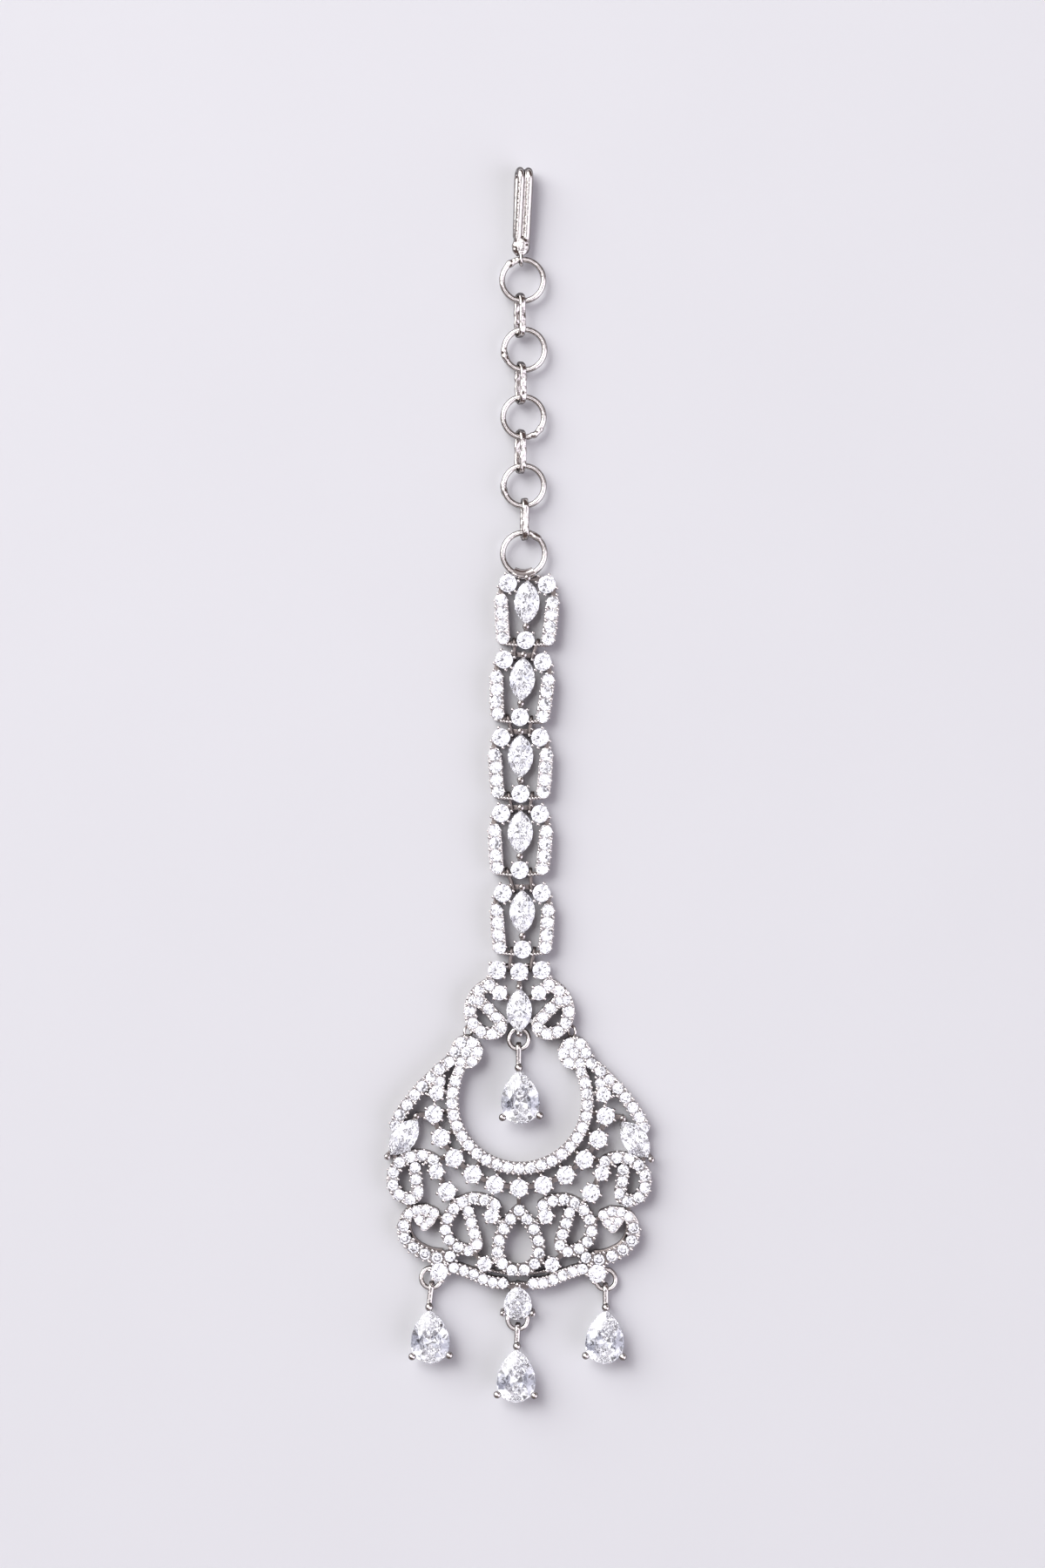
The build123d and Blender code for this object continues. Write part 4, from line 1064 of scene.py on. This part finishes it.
class TIKKA_OT_stage(bpy.types.Operator):
    """Pale floor, soft light and the camera"""

    bl_idname = "tikka.stage"
    bl_label = "Stage"

    def execute(self, context):
        scene = context.scene
        stage = scene.tikka_stage
        scene.view_settings.view_transform = "Standard"
        scene.cycles.max_bounces = scene.cycles.glossy_bounces = scene.cycles.transmission_bounces = BOUNCES
        self.floor(scene, stage)
        self.room(scene, stage)
        self.lamp(scene, stage)
        self.camera(scene, stage)
        return {"FINISHED"}

    def floor(self, scene, stage):
        """A large sheet just under the ornament."""
        bm = bmesh.new()
        bmesh.ops.create_grid(bm, x_segments=1, y_segments=1, size=FLOOR_REACH)
        bmesh.ops.translate(bm, verts=bm.verts, vec=(0, 0, CAD_BOX[0].z - FLOOR_GAP))
        mesh = bpy.data.meshes.new("floor")
        bm.to_mesh(mesh)
        bm.free()
        floor = bpy.data.objects.new("floor", mesh)
        scene.collection.objects.link(floor)
        mesh.materials.append(self.paper(stage))

    def lamp(self, scene, stage):
        """A weak square lamp on the softbox's side."""
        data = bpy.data.lights.new("soft_lamp", "AREA")
        data.shape, data.size, data.energy = "SQUARE", LAMP_WIDTH, stage.lamp_watts
        lamp = bpy.data.objects.new("soft_lamp", data)
        lamp.location = LAMP_PLACE
        lamp.rotation_euler = (-LAMP_PLACE).to_track_quat("-Z", "Y").to_euler()
        scene.collection.objects.link(lamp)

    def camera(self, scene, stage):
        """A camera that looks straight down."""
        data = bpy.data.cameras.new("camera")
        data.lens, data.sensor_width = stage.lens, SENSOR_WIDTH
        data.clip_start, data.clip_end = 0.01, 20.0
        camera = bpy.data.objects.new("camera", data)
        camera.location = (stage.camera_side, 0.0, stage.camera_height)
        scene.collection.objects.link(camera)
        scene.camera = camera

    def paper(self, stage):
        """Smooth matt paper: a faint cloudiness and no visible grain."""
        material, tree, output = new_material("matt_paper")
        place = add_node(tree, "ShaderNodeTexCoord").outputs["Object"]
        clouds = add_node(tree, "ShaderNodeTexNoise", {"Vector": place, "Scale": 30.0, "Detail": 2.0})
        tone = add_node(
            tree, "ShaderNodeMix",
            {"Factor": clouds.outputs["Fac"], "A": stage.floor, "B": linear("#ECECF0")}, data_type="RGBA",
        )
        shader = add_node(
            tree, "ShaderNodeBsdfPrincipled", {"Base Color": tone.outputs["Result"], "Roughness": 0.75},
        )
        tree.links.new(shader.outputs["BSDF"], output.inputs["Surface"])
        return material

    def room(self, scene, stage):
        """The room's light, which falls on everything. The camera itself sees a plain pale backdrop, and
        clear stones show mostly that backdrop."""
        world = bpy.data.worlds.new("studio")
        scene.world = world
        world.use_nodes = True
        tree = world.node_tree
        tree.nodes.clear()
        direction = add_node(tree, "ShaderNodeTexCoord").outputs["Generated"]
        rays = add_node(tree, "ShaderNodeLightPath")
        seen = add_node(tree, "ShaderNodeBackground", {"Color": BACKDROP, "Strength": 1.0})
        glow = add_node(
            tree, "ShaderNodeMath", {0: rays.outputs["Is Transmission Ray"], 1: stage.stone_glow},
            operation="MULTIPLY",
        )
        unseen = add_node(
            tree, "ShaderNodeMixShader",
            {
                0: glow.outputs["Value"], 1: self.room_light(tree, stage, direction, rays),
                2: self.backdrop_in_stones(tree, stage, direction),
            },
        )
        mix = add_node(
            tree, "ShaderNodeMixShader",
            {0: rays.outputs["Is Camera Ray"], 1: unseen.outputs[0], 2: seen.outputs[0]},
        )
        add_node(tree, "ShaderNodeOutputWorld", {"Surface": mix.outputs[0]})

    def room_light(self, tree, stage, direction, rays):
        """A dim warm room with a softbox, a weaker light across from it and a ceiling. Metal reflects a pale
        panel in the ceiling's place, with the camera's own shade in its middle."""
        ceiling, overhead = [
            add_node(
                tree, "ShaderNodeMix",
                {"Factor": rays.outputs["Is Glossy Ray"], "A": stage.ceiling, "B": tone}, data_type="RGBA",
            ).outputs["Result"]
            for tone in (stage.panel, stage.overhead)
        ]
        light = stage.horizon
        patches = [
            Patch(UP, 0.9, 0.7, ceiling), Patch(Vector((0.82, -0.32, 0.47)), 0.95, 0.78, stage.fill),
            Patch(Vector((-0.6, 0.52, 0.61)), 0.93, 0.79, stage.sky), Patch(UP, 0.985, 0.955, overhead),
        ]
        for patch in patches:
            near = add_node(
                tree, "ShaderNodeVectorMath", {0: direction, 1: patch.toward.normalized()},
                operation="DOT_PRODUCT",
            )
            lobe = add_node(
                tree, "ShaderNodeMapRange",
                {"Value": near.outputs["Value"], "From Min": patch.end, "From Max": patch.full},
                interpolation_type="SMOOTHSTEP",
            )
            mixed = add_node(
                tree, "ShaderNodeMix", {"Factor": lobe.outputs["Result"], "A": light, "B": patch.tone},
                data_type="RGBA",
            )
            light = mixed.outputs["Result"]
        return add_node(
            tree, "ShaderNodeBackground", {"Color": light, "Strength": stage.sky_strength},
        ).outputs[0]

    def backdrop_in_stones(self, tree, stage, direction):
        """The pale backdrop with darker gaps, which gives the facets of clear stones their contrast."""
        clouds = add_node(tree, "ShaderNodeTexNoise", {"Vector": direction, "Scale": 4.5, "Detail": 0.0})
        gaps = add_node(
            tree, "ShaderNodeMapRange",
            {
                "Value": clouds.outputs["Fac"], "From Min": 0.38, "From Max": 0.42,
                "To Min": stage.stone_dark, "To Max": stage.stone_bright,
            },
            interpolation_type="SMOOTHSTEP",
        )
        return add_node(
            tree, "ShaderNodeBackground", {"Color": BACKDROP, "Strength": gaps.outputs["Result"]},
        ).outputs[0]


class TIKKA_PT_panel(bpy.types.Panel):
    """The settings and a button for each piece"""

    bl_idname = "TIKKA_PT_panel"
    bl_label = "Tikka"
    bl_space_type = "VIEW_3D"
    bl_region_type = "UI"
    bl_category = "Tikka"

    def draw(self, context):
        for name, _ in SETTINGS:
            group = getattr(context.scene, name)
            box = self.layout.box()
            for key in group.__annotations__:
                box.prop(group, key)
        for operator in OPERATORS:
            self.layout.operator(operator.bl_idname)


SETTINGS = [
    ("tikka_metal", TikkaMetal), ("tikka_stones", TikkaStones), ("tikka_pave", TikkaPave),
    ("tikka_beads", TikkaBeads), ("tikka_stage", TikkaStage),
]
OPERATORS = [
    TIKKA_OT_castings, TIKKA_OT_wires, TIKKA_OT_set_stones, TIKKA_OT_pave, TIKKA_OT_beads, TIKKA_OT_stage,
]


def register():
    for name, group in SETTINGS:
        bpy.utils.register_class(group)
        setattr(bpy.types.Scene, name, bpy.props.PointerProperty(type=group))
    for operator in OPERATORS:
        bpy.utils.register_class(operator)
    bpy.utils.register_class(TIKKA_PT_panel)


def unregister():
    bpy.utils.unregister_class(TIKKA_PT_panel)
    for operator in reversed(OPERATORS):
        bpy.utils.unregister_class(operator)
    for name, group in reversed(SETTINGS):
        delattr(bpy.types.Scene, name)
        bpy.utils.unregister_class(group)


def main():
    register()
    bpy.ops.tikka.castings()
    bpy.ops.tikka.wires()
    bpy.ops.tikka.set_stones()
    bpy.ops.tikka.pave()
    bpy.ops.tikka.beads()
    bpy.ops.tikka.stage()


if __name__ == "__main__":
    main()
